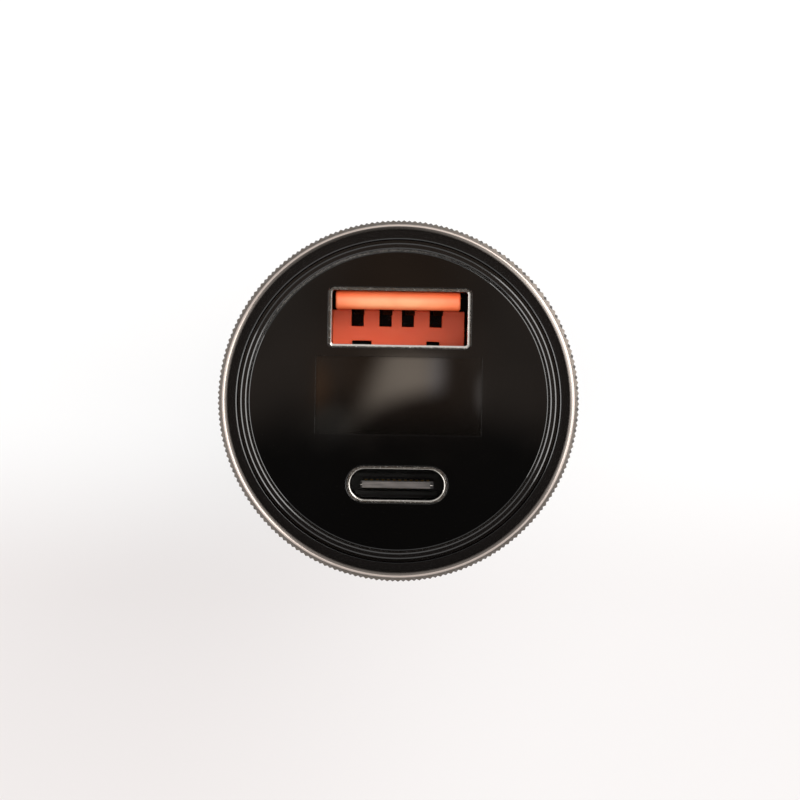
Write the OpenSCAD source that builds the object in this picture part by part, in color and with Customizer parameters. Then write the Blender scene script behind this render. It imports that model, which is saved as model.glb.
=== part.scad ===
// Charger plug for a vehicle's power socket, with a knurled metal head, a USB-A port and a USB-C port.
// Sizes are in millimetres. The plug's axis is Z: the face looks up and the nose points down.
// z = 0 is the head's shoulder, which meets the rim of the socket. USB-A lies towards +Y.

/* [Head] */
// Height of the head, from its shoulder to the top of the grip ring
head_h = 22; // [21:0.5:28]
// Diameter over the tips of the knurl
grip_d = 32; // [31:0.5:36]
// How far the shoulder stands in from the sleeve, which swells above it
shoulder_step = 2.1; // [1:0.1:2.4]
// Height over which the sleeve swells
taper_h = 7.5; // [6:0.5:10]
// How far the sleeve stands back from the knurl's valleys
shell_step = 0.22; // [0.1:0.02:0.4]
// Wall of the sleeve
shell_wall = 1.6; // [1.3:0.1:1.8]
// Thickness of the sleeve's floor
shell_floor = 1.6; // [1:0.1:2.4]
// Chamfer at the sleeve's lower edge
shoulder_chamfer = 0.4; // [0.2:0.1:0.8]

/* [Grip ring] */
// Height of the grip ring
ring_h = 5.3; // [4:0.1:7]
// Wall of the grip ring, from its bore to the knurl's valleys
ring_wall = 0.5; // [0.4:0.05:0.6]
// Number of teeth round the knurl
knurl_teeth = 105; // [60:1:105]
// Depth of the knurl
knurl_depth = 0.28; // [0.15:0.01:0.4]
// Height of the plain rim above the knurl
rim_h = 0.55; // [0.45:0.05:0.8]
// Width of the bright ridge on top
ridge_w = 0.1; // [0.05:0.01:0.15]
// Depth of the chamfer inside the ridge
rim_chamfer_h = 0.2; // [0.1:0.05:0.3]
// How far the ridge lies inside the knurl's valleys
ridge_inset = 0.13; // [0.08:0.01:0.2]

/* [Front] */
// Width of the flat black ring inside the grip ring
bezel_w = 0.84; // [0.7:0.02:1.2]
// Height of that ring
bezel_h = 1.5; // [1.2:0.1:2.5]
// How far that ring lies below the ridge
bezel_drop = 0.5; // [0.3:0.05:0.8]
// Parting gap between that ring and the front cover
parting_gap = 0.37; // [0.2:0.01:0.5]
// Width of the cover's raised rim
cover_rim_w = 0.48; // [0.4:0.02:0.8]
// How far the cover's rim stands above the face plate
cover_rim_proud = 0.15; // [0.05:0.05:0.4]
// Thickness of the cover's floor
cover_floor = 1.5; // [1:0.1:2]
// Height of the cover's skirt, from its seat to the root of the rim
skirt_h = 2.9; // [2.6:0.1:3.4]
// Wall of the cover's skirt
skirt_wall = 1.3; // [1:0.1:1.6]
// Gap round the face plate
plate_gap = 0.29; // [0.1:0.01:0.4]
// Thickness of the face plate
plate_t = 1; // [0.8:0.1:1.4]
// How far the face plate lies below the ridge
plate_drop = 0.5; // [0.4:0.05:0.8]
// Chamfer round the face plate's edge
plate_chamfer = 0.12; // [0.05:0.01:0.2]

/* [USB-A port] */
// Distance of the USB-A port from the axis
usb_a_y = 7.34; // [7.2:0.02:7.5]
// Outer width of its shell
usb_a_w = 12.62; // [12.5:0.02:13]
// Outer height of its shell
usb_a_h = 5.32; // [5.2:0.02:5.4]
// Sheet thickness of its shell
usb_a_sheet = 0.28; // [0.25:0.01:0.32]
// Corner radius of its shell
usb_a_corner = 0.5; // [0.4:0.05:0.8]
// Depth from the mouth to the orange back wall
usb_a_depth = 8.9; // [8.8:0.1:9.4]
// Width of the tongue
tongue_w = 11.1; // [10.9:0.1:11.2]
// Thickness of the tongue
tongue_t = 1.77; // [1.6:0.01:1.9]
// How far the tongue's tip lies inside the mouth
tongue_recess = 0.8; // [0.5:0.1:1.5]
// Width of the insulator's back wall
insulator_w = 11.7; // [11.6:0.05:11.75]
// Sideways shift of the insulator in its shell
insulator_shift = -0.1; // [-0.12:0.02:0.12]
// Width of a contact slot
slot_w = 1.07; // [1:0.01:1.2]
// Width of a contact finger
finger_w = 0.85; // [0.7:0.05:0.95]
// Sheet thickness of a contact finger
finger_t = 0.25; // [0.2:0.05:0.3]

/* [USB-C port] */
// Distance of the USB-C port from the axis
usb_c_y = 7.38; // [7.2:0.02:7.6]
// Outer width of its shell
usb_c_w = 8.94; // [8.9:0.02:9]
// Outer height of its shell
usb_c_h = 3.16; // [3.12:0.02:3.2]
// Sheet thickness of its shell
usb_c_sheet = 0.3; // [0.25:0.01:0.32]
// Depth from the mouth to the insulator's shoulder
usb_c_depth = 6.2; // [6:0.1:6.5]
// Width of its tongue
usb_c_tongue_w = 6.5; // [6.4:0.05:6.7]
// Thickness of its tongue
usb_c_tongue_t = 0.7; // [0.65:0.05:0.8]
// How far its tongue's tip lies inside the mouth
usb_c_recess = 0.65; // [0.4:0.05:1]
// Width of the steel plate inside its tongue
midplate_w = 6.7; // [6.6:0.02:6.9]
// Thickness of that plate
midplate_t = 0.15; // [0.12:0.01:0.2]

/* [Ports] */
// How far the mouths lie below the face plate
port_inset = 0.2; // [0.05:0.05:0.4]
// Clearance of a cut-out round a port
port_gap = 0.1; // [0.05:0.01:0.15]
// Wall of the guides under the cover's floor
guide_wall = 0.8; // [0.6:0.1:1]
// Length of the guides under the cover's floor
guide_h = 2; // [1:0.5:3]

/* [Display] */
// Width of the smoked window
window_w = 14.7; // [14:0.1:16]
// Height of the smoked window
window_h = 6.9; // [6.7:0.1:7]
// Distance of the window's middle from the axis
window_y = 0.45; // [0.2:0.05:0.5]
// Gap round the window
window_gap = 0.02; // [0.01:0.01:0.05]
// Margin of the display's body inside the window
display_margin = 0.25; // [0.2:0.05:0.4]
// Depth of the display's body
display_t = 5.2; // [4:0.1:6]
// Height of a digit
digit_h = 4.4; // [4:0.1:4.8]
// Width of a digit
digit_w = 2.6; // [2.2:0.1:2.8]
// Width of a digit's bars
bar_w = 0.5; // [0.4:0.05:0.6]

/* [Plug barrel] */
// Radius of the collar that seats in the socket
collar_r = 10.45; // [10.4:0.05:10.6]
// Length of the collar
collar_h = 8; // [6:0.5:8]
// Radius of the barrel below the collar
barrel_r = 10.2; // [10.15:0.05:10.3]
// Wall of the barrel
barrel_wall = 1.2; // [1.1:0.1:1.3]
// Length of the barrel, from the shoulder to the nose cap
barrel_h = 33; // [32:0.5:36]
// Radius of the neck in the head's floor
neck_r = 11; // [10.8:0.1:11.2]
// Clearance between the flange inside the head and the sleeve
flange_gap = 0.29; // [0.2:0.01:0.5]
// Thickness of that flange
flange_t = 1.5; // [1:0.1:2]
// Wall that carries the round board
board_wall = 1.3; // [1:0.1:1.5]

/* [Nose] */
// Length of the nose cap, from the barrel to its tip
nose_h = 5.5; // [5.2:0.1:7]
// Radius of the nose cap's tip
nose_tip_r = 7.6; // [6.5:0.1:8.5]
// Front wall of the nose cap
nose_wall = 1.6; // [1.2:0.1:2]
// Depth of the nose cap's spigot in the barrel
spigot_h = 1.5; // [1:0.1:1.6]
// Radius of the centre contact
pin_r = 3; // [2.6:0.1:3.2]
// How far the centre contact stands out of the nose
pin_out = 3.3; // [2.8:0.1:4]
// Radius of the centre contact's flange
pin_flange_r = 4.5; // [4.3:0.1:4.6]
// Thickness of that flange
pin_flange_t = 1; // [0.8:0.1:1.2]
// Wire diameter of the spring
wire_d = 0.5; // [0.4:0.05:0.6]
// Middle radius of the spring's coils
coil_r = 2.9; // [2.8:0.05:3.2]
// Number of coils
coil_turns = 6; // [4:1:7]

/* [Side contacts] */
// Width of a side contact
strip_w = 4.6; // [4:0.1:4.8]
// Sheet thickness of a side contact
strip_t = 0.4; // [0.3:0.05:0.45]
// How far a side contact stands out from the axis at its crest
crest_x = 11.9; // [11.5:0.1:12.2]
// Depth of the crest below the shoulder
crest_z = 17; // [16:0.5:18]
// Radius of the rolled eye at its root
eye_r = 0.6; // [0.5:0.05:0.65]
// Height of the eye above the barrel's lower end
eye_up = 3; // [2.7:0.1:4]
// Depth of the free end below the shoulder
free_end_z = 9.2; // [9:0.1:9.4]
// Depth of the upper end of its slot below the shoulder
slot_top_z = 10.3; // [10:0.1:10.5]
// Clearance beside a side contact in its slot
strip_gap = 0.3; // [0.2:0.05:0.4]
// Width of a tab that wipes on the eye
tab_w = 2.4; // [2:0.1:2.8]
// Sheet thickness of such a tab
tab_t = 0.3; // [0.2:0.05:0.35]

/* [Boards] */
// Thickness of both boards
board_t = 1.2; // [1:0.1:1.4]
// How far the round board stands past the flange
board_over = 0.3; // [0.1:0.05:0.4]
// Height of the round board above the head's floor
board_lift = 4.8; // [4:0.2:6]
// Distance of the long board's edges from the barrel's wall
board_inset = 0.7; // [0.6:0.05:1]
// How far the long board ends above the eyes
board_up = 1.7; // [1.4:0.1:2]
// Radius of the board's plus terminal
terminal_r = 3.9; // [3.6:0.1:4.2]
// Thickness of that terminal
terminal_t = 0.5; // [0.4:0.05:0.6]

/* [Hidden] */
$fn = 96;
eps = 0.01;       // overshoot of a cut
touch = 0.02;     // play between pieces that rest on each other and move apart
fit_gap = 0.04;   // radial clearance of a pressed or glued seat

// Colours of the pieces
metal_c = [0.45, 0.42, 0.40];
ring_c = [0.78, 0.74, 0.70];
black_c = [0.06, 0.06, 0.06];
plate_c = [0.03, 0.03, 0.03];
smoke_c = [0.12, 0.12, 0.12];
steel_c = [0.75, 0.75, 0.75];
nickel_c = [0.82, 0.80, 0.76];
orange_c = [0.90, 0.36, 0.18];
brass_c = [0.80, 0.65, 0.35];
board_c = [0.05, 0.28, 0.14];
chip_c = [0.10, 0.10, 0.11];

// Radii of the head, from the knurl inwards
tip_r = grip_d / 2;
valley_r = tip_r - knurl_depth;
shell_r = valley_r - shell_step;
shoulder_r = shell_r - shoulder_step;
bore_r = valley_r - ring_wall;
ridge_r = valley_r - ridge_inset;
spigot_r = bore_r - fit_gap;
bezel_r = spigot_r - bezel_w;
cover_r = bezel_r - parting_gap;
rim_r = cover_r - cover_rim_w;
plate_r = rim_r - plate_gap;
pocket_r = bezel_r - fit_gap;
cover_flange_r = pocket_r - fit_gap;
skirt_r = cover_flange_r - skirt_wall;
cavity_r = shell_r - shell_wall;

// Levels of the head, from the ridge down
ring_z = head_h - ring_h;
bezel_top = head_h - bezel_drop;
bezel_z = bezel_top - bezel_h;
plate_top = head_h - plate_drop;
plate_z = plate_top - plate_t;
cover_root_z = plate_z - 0.1;
cover_seat_z = cover_root_z - skirt_h;
cover_floor_z = plate_z - cover_floor;
mouth_z = plate_top - port_inset;
board_z = shell_floor + board_lift;
board_top = board_z + board_t;
port_len = mouth_z - board_top;
flange_r = sleeve_r(shell_floor) - shell_wall - flange_gap;
board_r = flange_r + board_over;
flange_top = shell_floor + flange_t;

// Barrel and nose
barrel_in = barrel_r - barrel_wall;
hole_r = neck_r + fit_gap;
nose_z = -barrel_h - nose_h;
nose_floor_z = nose_z + nose_wall;
flange_low_z = nose_floor_z + touch;
flange_high_z = flange_low_z + pin_flange_t;
pin_bore_r = pin_r + 0.1;
well_r = pin_flange_r + 0.2;
eye_z = barrel_h - eye_up;
main_board_w = 2 * (barrel_in - board_inset);
main_board_end = eye_z - board_up;
spring_seat_z = -main_board_end - terminal_t;
spigot_top = -barrel_h + spigot_h;

// Side contacts
eye_x = barrel_in + 0.1;
eye_clear = 0.05;
slot_half = strip_w / 2 + strip_gap;
tuck_x = sqrt(pow(barrel_in, 2) - pow(strip_w / 2, 2)) - 0.05 - strip_t / 2;
boss_half = strip_w / 2 + 1.1;
eye_half = strip_w / 2 + eye_clear;
window_half = tab_w / 2 + 0.4;

// USB-A
tongue_tip = mouth_z - tongue_recess;
usb_a_wall_z = mouth_z - usb_a_depth;
a_in_w = usb_a_w - 2 * usb_a_sheet;
a_in_h = usb_a_h - 2 * usb_a_sheet;
tongue_high = usb_a_y + a_in_h / 2 - 0.1;
tongue_low = tongue_high - tongue_t;
finger_x = [-3.5, -1, 1, 3.5];
finger_slot_h = 1.25;
finger_slot_up = 0.45;
bottom_notches = [[-4.2, 1.75], [2.48, 1.15]];
bottom_notch_h = 0.35;
bottom_notch_depth = 3;
leg_w = 1.6;
leg_out = 0.8;
leg_clear = 0.15;

// USB-C
usb_c_in_w = usb_c_w - 2 * usb_c_sheet;
usb_c_in_h = usb_c_h - 2 * usb_c_sheet;
usb_c_wall_z = mouth_z - usb_c_depth;
usb_c_tip = mouth_z - usb_c_recess;
usb_c_row = 12;
usb_c_pitch = 0.5;
usb_c_contact_w = 0.25;
usb_c_contact_t = 0.1;
usb_c_contact_tip = usb_c_tip - 0.7;
cutout_chamfer = 0.1;

// Display
display_w = window_w - 2 * display_margin;
display_h = window_h - 2 * display_margin;
display_top = plate_z - 0.05;
display_z = display_top - display_t;
digit_pitch = 4.2;
segment_depth = 0.25;
display_pin_r = 0.25;
pin_hole_gap = 0.1;
display_pin_pitch = 2.54;
display_pin_rows = [-display_h / 2 + 0.6, display_h / 2 - 0.6];

// Power parts on the long board: [across, along the axis, height above the board].
// Their places are measured down from the round board.
board_face = board_t / 2;
inductor_size = [7, 7, 4];
inductor_z = board_z - 14.9;
can_r = 2.3;
can_len = 11;
can_y = can_r + 0.3;
can_z = board_z - 19.9;
converter_size = [4, 5, 1.5];
controller_size = [4, 4, 0.9];
transistor_size = [main_board_w / 2 - 3.3, 6, 1.1];
fuse_size = [2.7, 6.1, 2.7];
capacitor_size = [1.6, 3.2, 1.6];
capacitor_y = main_board_w / 2 - 2.7;
capacitor_z = board_z - 3.4;
capacitor_pitch = 4;
converter_z = board_z - 7.4;
low_parts_z = board_z - 23.4;
low_parts_y = main_board_w / 2 - 3.5;
transistor_y = transistor_size[0] / 2 + 1.3;
transistor_drop = 1;

// Tabs between the long board and the side contacts: heights above the eye
tab_top = 9.5;
tab_foot = 2.5;
tab_bend = [0.5, 0.8];
tab_reach = [0.8, 0.8];
tab_tip = 0.4;

// Geometry helpers
function unit(v) = v / norm(v);
function heading(p, i) = unit(
    (i < len(p) - 1 ? unit(p[i + 1] - p[i]) : [0, 0]) + (i > 0 ? unit(p[i] - p[i - 1]) : [0, 0])
);
function beside(p, i, d) = p[i] + d * [-heading(p, i)[1], heading(p, i)[0]];
function ribbon(p, t) = concat(
    [for (i = [0:len(p) - 1]) beside(p, i, t / 2)],
    [for (i = [len(p) - 1:-1:0]) beside(p, i, -t / 2)]
);
function bezier(a, b, c, d, t) =
    pow(1 - t, 3) * a + 3 * pow(1 - t, 2) * t * b + 3 * (1 - t) * t * t * c + pow(t, 3) * d;
function curve(a, b, c, d, n) = [for (i = [0:n]) bezier(a, b, c, d, i / n)];
function sleeve_r(z) = shoulder_r + (shell_r - shoulder_r) * sin(90 * min(z / taper_h, 1));

module rounded_rect(w, h, r) {
    hull_w = w - 2 * r;
    hull_h = h - 2 * r;
    square([hull_w, h], center = true);
    square([w, hull_h], center = true);
    for (x = [-1, 1], y = [-1, 1]) translate([x * hull_w / 2, y * hull_h / 2]) circle(r);
}

module stadium(w, h) {
    square([w - h, h], center = true);
    for (x = [-1, 1]) translate([x * (w - h) / 2, 0]) circle(h / 2);
}

// Stadium cut that widens by c over its height h
module flared_stadium(w, h, c, depth) {
    span = w - h;
    for (x = [-1, 1]) translate([x * span / 2, 0, 0]) cylinder(h = depth, r1 = h / 2, r2 = h / 2 + c);
    rotate([90, 0, 90]) linear_extrude(span, center = true) polygon([
        [-h / 2, 0], [h / 2, 0], [h / 2 + c, depth], [-h / 2 - c, depth]
    ]);
}

module block(w, h, z0, z1) {
    translate([-w / 2, -h / 2, z0]) cube([w, h, z1 - z0]);
}

// Section drawn in X and Z, made w wide along Y
module pressed(outline, w) {
    translate([0, w / 2, 0]) rotate([90, 0, 0]) linear_extrude(w) polygon(outline);
}

module usb_a_place() { translate([0, usb_a_y, 0]) children(); }
module usb_c_place() { translate([0, -usb_c_y, 0]) children(); }
module window_place() { translate([0, window_y, 0]) children(); }

// Head
module head_shell() {
    steps = 12;
    rise = taper_h - shoulder_chamfer;
    inner_rise = taper_h - shell_floor;
    color(metal_c) rotate_extrude() polygon(concat(
        [[hole_r, 0], [sleeve_r(shoulder_chamfer) - shoulder_chamfer, 0]],
        [for (i = [0:steps]) let (z = shoulder_chamfer + rise * i / steps) [sleeve_r(z), z]],
        [[shell_r, ring_z], [spigot_r, ring_z], [spigot_r, bezel_z], [pocket_r, bezel_z],
         [pocket_r, cover_seat_z], [cavity_r, cover_seat_z]],
        [for (i = [steps:-1:0]) let (z = shell_floor + inner_rise * i / steps) [sleeve_r(z) - shell_wall, z]],
        [[hole_r, shell_floor]]
    ));
}

// The knurl's tips and valleys alternate round each row and from row to row, so each cell
// is folded along the line between its two valleys and the tips stand up as pyramids.
module trim_ring() {
    columns = 2 * knurl_teeth;
    knurl_h = ring_h - rim_h;
    rows = round(knurl_h * columns / (PI * (tip_r + valley_r)));
    plain = [
        [valley_r - ridge_inset / 3, head_h - 0.8 * rim_h],
        [ridge_r + ridge_inset / 3, head_h - 0.2 * rim_h],
        [ridge_r, head_h],
        [ridge_r - ridge_w, head_h],
        [bore_r, head_h - rim_chamfer_h],
        [bore_r, ring_z]
    ];
    levels = rows + 1 + len(plain);
    function corner(l, i) = (l % levels) * columns + i % columns;
    function on_ring(r, i, z) = [r * cos(360 * i / columns), r * sin(360 * i / columns), z];
    points = concat(
        [for (l = [0:rows], i = [0:columns - 1])
            on_ring((i + l) % 2 == 0 ? tip_r : valley_r, i, ring_z + knurl_h * l / rows)],
        [for (p = plain, i = [0:columns - 1]) on_ring(p[0], i, p[1])]
    );
    faces = [for (l = [0:levels - 1], i = [0:columns - 1], half = [0, 1])
        (i + l) % 2 == 0
            ? (half == 0 ? [corner(l, i), corner(l + 1, i), corner(l, i + 1)]
                         : [corner(l, i + 1), corner(l + 1, i), corner(l + 1, i + 1)])
            : (half == 0 ? [corner(l, i), corner(l + 1, i + 1), corner(l, i + 1)]
                         : [corner(l, i), corner(l + 1, i), corner(l + 1, i + 1)])
    ];
    color(ring_c) polyhedron(points, faces, convexity = 4);
}

module bezel_ring() {
    edge = 0.1;
    color(black_c) rotate_extrude() polygon([
        [bezel_r, bezel_z], [spigot_r, bezel_z], [spigot_r, bezel_top],
        [bezel_r + edge, bezel_top], [bezel_r, bezel_top - edge]
    ]);
}

module front_cover() {
    edge = 0.08;
    rim_top = plate_top + cover_rim_proud;
    color(black_c) difference() {
        union() {
            rotate_extrude() polygon([
                [skirt_r, cover_seat_z], [cover_flange_r, cover_seat_z], [cover_flange_r, cover_root_z],
                [cover_r, cover_root_z], [cover_r, rim_top - edge], [cover_r - edge, rim_top],
                [rim_r + edge, rim_top], [rim_r, rim_top - edge], [rim_r, plate_z], [0, plate_z],
                [0, cover_floor_z], [skirt_r, cover_floor_z]
            ]);
            translate([0, 0, cover_floor_z - guide_h]) linear_extrude(guide_h + eps) {
                usb_a_place() square([usb_a_w, usb_a_h] + 2 * (port_gap + guide_wall) * [1, 1], center = true);
                usb_c_place() stadium(
                    usb_c_w + 2 * (port_gap + guide_wall), usb_c_h + 2 * (port_gap + guide_wall));
            }
        }
        translate([0, 0, cover_seat_z - guide_h]) linear_extrude(head_h) {
            usb_a_place() rounded_rect(usb_a_w + 2 * port_gap, usb_a_h + 2 * port_gap, usb_a_corner);
            usb_c_place() stadium(usb_c_w + 2 * port_gap, usb_c_h + 2 * port_gap);
            window_place() square([display_w, display_h] + 2 * fit_gap * [1, 1], center = true);
        }
    }
}

module face_plate() {
    color(plate_c) difference() {
        rotate_extrude() polygon([
            [0, plate_z], [plate_r, plate_z], [plate_r, plate_top - plate_chamfer],
            [plate_r - plate_chamfer, plate_top], [0, plate_top]
        ]);
        translate([0, 0, plate_z - eps]) linear_extrude(plate_t + 2 * eps) {
            usb_a_place() rounded_rect(usb_a_w + 2 * port_gap, usb_a_h + 2 * port_gap, usb_a_corner);
            usb_c_place() stadium(usb_c_w + 2 * port_gap, usb_c_h + 2 * port_gap);
            window_place() square([window_w, window_h] + 2 * window_gap * [1, 1], center = true);
        }
        usb_c_place() translate([0, 0, plate_top - cutout_chamfer])
            flared_stadium(usb_c_w + 2 * port_gap, usb_c_h + 2 * port_gap, cutout_chamfer + eps,
                cutout_chamfer + eps);
    }
}

// Display
module display_window() {
    color(smoke_c) window_place() block(window_w, window_h, plate_z, plate_top);
}

module bar(length) {
    polygon([
        [-length / 2, 0], [-length / 2 + bar_w / 2, bar_w / 2], [length / 2 - bar_w / 2, bar_w / 2],
        [length / 2, 0], [length / 2 - bar_w / 2, -bar_w / 2], [-length / 2 + bar_w / 2, -bar_w / 2]
    ]);
}

module segments(depth) {
    half = digit_h / 2;
    joint_gap = 0.12;
    for (n = [-1:1]) window_place() translate([n * digit_pitch, 0, display_top - depth]) linear_extrude(depth) {
        for (y = [-1, 0, 1]) translate([0, y * (half - bar_w / 2)]) bar(digit_w - joint_gap * 2);
        for (x = [-1, 1], y = [-1, 1]) translate([x * digit_w / 2, y * (half - bar_w / 2) / 2])
            rotate(90) bar(half - bar_w / 2 - joint_gap * 2);
        translate([digit_w / 2 + bar_w * 1.3, -half + bar_w / 2]) circle(bar_w / 2);
    }
}

module display_body() {
    color([0.22, 0.22, 0.23]) difference() {
        window_place() block(display_w, display_h, display_z, display_top);
        translate([0, 0, eps]) segments(segment_depth + eps);
    }
}

module display_segments() {
    color([0.70, 0.70, 0.66]) segments(segment_depth);
}

module display_pins(clear = 0) {
    color(steel_c) for (n = [-2:2], y = display_pin_rows) window_place()
        translate([n * display_pin_pitch, y, board_z - clear])
            cylinder(h = display_z - board_z + clear, r = display_pin_r + clear);
}

// USB-A port
module usb_a_legs(clear = 0) {
    for (x = [-1, 1]) usb_a_place() translate([x * (usb_a_w - usb_a_sheet) / 2, 0, 0])
        block(usb_a_sheet + 2 * clear, leg_w + 2 * clear, board_z - leg_out, board_top + eps);
}

// Springy tongue cut out of the shell on three sides
module retention_cut() {
    cut = 0.3;
    length = 4.5;
    width = 1.8;
    difference() {
        square([width + 2 * cut, length + cut], center = true);
        translate([0, -cut / 2]) square([width, length], center = true);
    }
}

module usb_a_shell() {
    leaf_x = 3;
    leaf_z = mouth_z - 4.2;
    color(steel_c) {
        difference() {
            usb_a_place() translate([0, 0, board_top]) linear_extrude(port_len) difference() {
                rounded_rect(usb_a_w, usb_a_h, usb_a_corner);
                rounded_rect(a_in_w, a_in_h, usb_a_corner - usb_a_sheet);
            }
            usb_a_place() for (x = [-1, 1]) translate([x * leaf_x, 0, leaf_z])
                rotate([90, 0, 0]) linear_extrude(usb_a_h + 1, center = true) retention_cut();
        }
        usb_a_legs();
    }
}

module usb_a_insulator() {
    nose = tongue_t * 0.45;
    low = usb_a_y - a_in_h / 2 + fit_gap;
    side = [
        [tongue_low, board_top], [tongue_high, board_top],
        for (i = [0:8]) [tongue_high - nose + nose * cos(11.25 * i), tongue_tip - nose + nose * sin(11.25 * i)],
        for (i = [0:8]) [tongue_low + nose - nose * sin(11.25 * i), tongue_tip - nose + nose * cos(11.25 * i)]
    ];
    color(orange_c) translate([insulator_shift, 0, 0]) difference() {
        union() {
            translate([-tongue_w / 2, 0, 0]) rotate([90, 0, 90]) linear_extrude(tongue_w) polygon(side);
            translate([-insulator_w / 2, low, board_top])
                cube([insulator_w, tongue_low - low + eps, usb_a_wall_z - board_top]);
        }
        for (x = finger_x) {
            translate([x - slot_w / 2, tongue_low - finger_slot_h, board_top - 1])
                cube([slot_w, finger_slot_h + finger_slot_up, usb_a_wall_z - board_top + 2]);
            translate([x - slot_w / 2, tongue_low - 1, usb_a_wall_z])
                cube([slot_w, 1 + finger_slot_up, tongue_tip - 1.2 - usb_a_wall_z]);
        }
        for (n = bottom_notches) translate([n[0], low - 1, usb_a_wall_z - bottom_notch_depth])
            cube([n[1], 1 + bottom_notch_h, bottom_notch_depth + 1]);
    }
}

// One contact finger: it lies in its groove under the tongue, bows out once and runs down to the board
module usb_a_contact(n) {
    seat_y = tongue_low + finger_slot_up - finger_t / 2;
    bow_y = tongue_low - 0.1;
    bow_z = mouth_z - 3.2;
    path = concat(
        [[seat_y, board_z], [seat_y, usb_a_wall_z + 1]],
        curve([seat_y, bow_z - 3], [seat_y, bow_z - 1.5], [bow_y, bow_z - 1.5], [bow_y, bow_z], 6),
        [[seat_y, tongue_tip - 1.5]]
    );
    color(brass_c) translate([insulator_shift + finger_x[n] - finger_w / 2, 0, 0])
        rotate([90, 0, 90]) linear_extrude(finger_w) polygon(ribbon(path, finger_t));
}

// USB-C port
module usb_c_legs(clear = 0) {
    for (x = [-1, 1]) usb_c_place() translate([x * (usb_c_w - usb_c_sheet) / 2, 0, 0])
        block(usb_c_sheet + 2 * clear, leg_w + 2 * clear, board_z - leg_out, board_top + usb_c_sheet);
}

module usb_c_shell() {
    color(steel_c) {
        usb_c_place() translate([0, 0, board_top]) linear_extrude(port_len) difference() {
            stadium(usb_c_w, usb_c_h);
            stadium(usb_c_in_w, usb_c_in_h);
        }
        difference() {
            usb_c_legs();
            usb_c_place() translate([0, 0, board_top]) linear_extrude(port_len) stadium(usb_c_in_w, usb_c_in_h);
        }
    }
}

module usb_c_contacts(side) {
    low = side > 0 ? usb_c_tongue_t / 2 - usb_c_contact_t / 2 : -usb_c_tongue_t / 2 - usb_c_contact_t / 2;
    color(brass_c) usb_c_place() for (n = [0:usb_c_row - 1])
        translate([(n - (usb_c_row - 1) / 2) * usb_c_pitch - usb_c_contact_w / 2, low, board_top])
            cube([usb_c_contact_w, usb_c_contact_t, usb_c_contact_tip - board_top]);
}
module usb_c_contacts_upper() { usb_c_contacts(1); }
module usb_c_contacts_lower() { usb_c_contacts(-1); }

module usb_c_midplate() {
    color(steel_c) usb_c_place() block(midplate_w, midplate_t, board_top + 1, usb_c_tip - 0.1);
}

module usb_c_insulator() {
    color(black_c) difference() {
        usb_c_place() {
            translate([0, 0, board_top]) linear_extrude(usb_c_wall_z - board_top)
                stadium(usb_c_in_w - 2 * fit_gap, usb_c_in_h - 2 * fit_gap);
            block(usb_c_tongue_w, usb_c_tongue_t, board_top + 1, usb_c_tip);
        }
        usb_c_midplate();
        usb_c_contacts_upper();
        usb_c_contacts_lower();
    }
}

// Boards and power parts
module front_board() {
    tail = 0.2;
    color(board_c) difference() {
        translate([0, 0, board_z]) cylinder(h = board_t, r = board_r);
        usb_a_legs(leg_clear);
        usb_c_legs(leg_clear);
        display_pins(pin_hole_gap);
        for (x = finger_x) translate([
            insulator_shift + x - finger_w / 2 - tail,
            tongue_low + finger_slot_up - finger_t - tail,
            board_z - 1
        ]) cube([finger_w + 2 * tail, finger_t + 2 * tail, board_t + 2]);
    }
}

module main_board() {
    color(board_c) block(board_t, main_board_w, -main_board_end, board_z);
}

// Part of the given size on one face of the long board, centred at y and z
module on_board(side, size, y, z) {
    translate([side > 0 ? board_face : -board_face - size[2], y - size[0] / 2, z - size[1] / 2])
        cube([size[2], size[0], size[1]]);
}

module power_inductor() {
    ring = 0.3;
    color([0.25, 0.25, 0.27]) difference() {
        on_board(1, inductor_size, 0, inductor_z);
        translate([board_face + inductor_size[2] - ring, 0, inductor_z]) rotate([0, 90, 0]) difference() {
            cylinder(h = 1, r = inductor_size[0] * 0.4);
            translate([0, 0, -1]) cylinder(h = 3, r = inductor_size[0] * 0.3);
        }
    }
}

module can(y) {
    groove = 0.25;
    sleeve = 1.4;
    color([0.20, 0.22, 0.30]) translate([-board_face - can_r, y, can_z]) rotate_extrude() polygon([
        [0, 0], [can_r, 0], [can_r, sleeve], [can_r - groove, sleeve + groove], [can_r, sleeve + 2 * groove],
        [can_r, can_len - groove], [can_r - groove, can_len], [0, can_len]
    ]);
}
module input_capacitor() { can(can_y); }
module output_capacitor() { can(-can_y); }

module converter_chip() {
    color(chip_c) on_board(1, converter_size, 0, converter_z);
}

module port_controller() {
    color(chip_c) on_board(1, controller_size, -low_parts_y, low_parts_z);
}

module power_transistors() {
    color(chip_c) for (y = [-1, 1])
        on_board(-1, transistor_size, y * transistor_y, low_parts_z - transistor_drop);
}

module board_fuse() {
    color([0.85, 0.84, 0.80]) on_board(1, fuse_size, low_parts_y, low_parts_z);
}

module ceramic_capacitors() {
    color([0.70, 0.58, 0.42]) for (y = [-1, 1], n = [0, 1])
        on_board(1, capacitor_size, y * capacitor_y, capacitor_z - n * capacitor_pitch);
}

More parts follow.
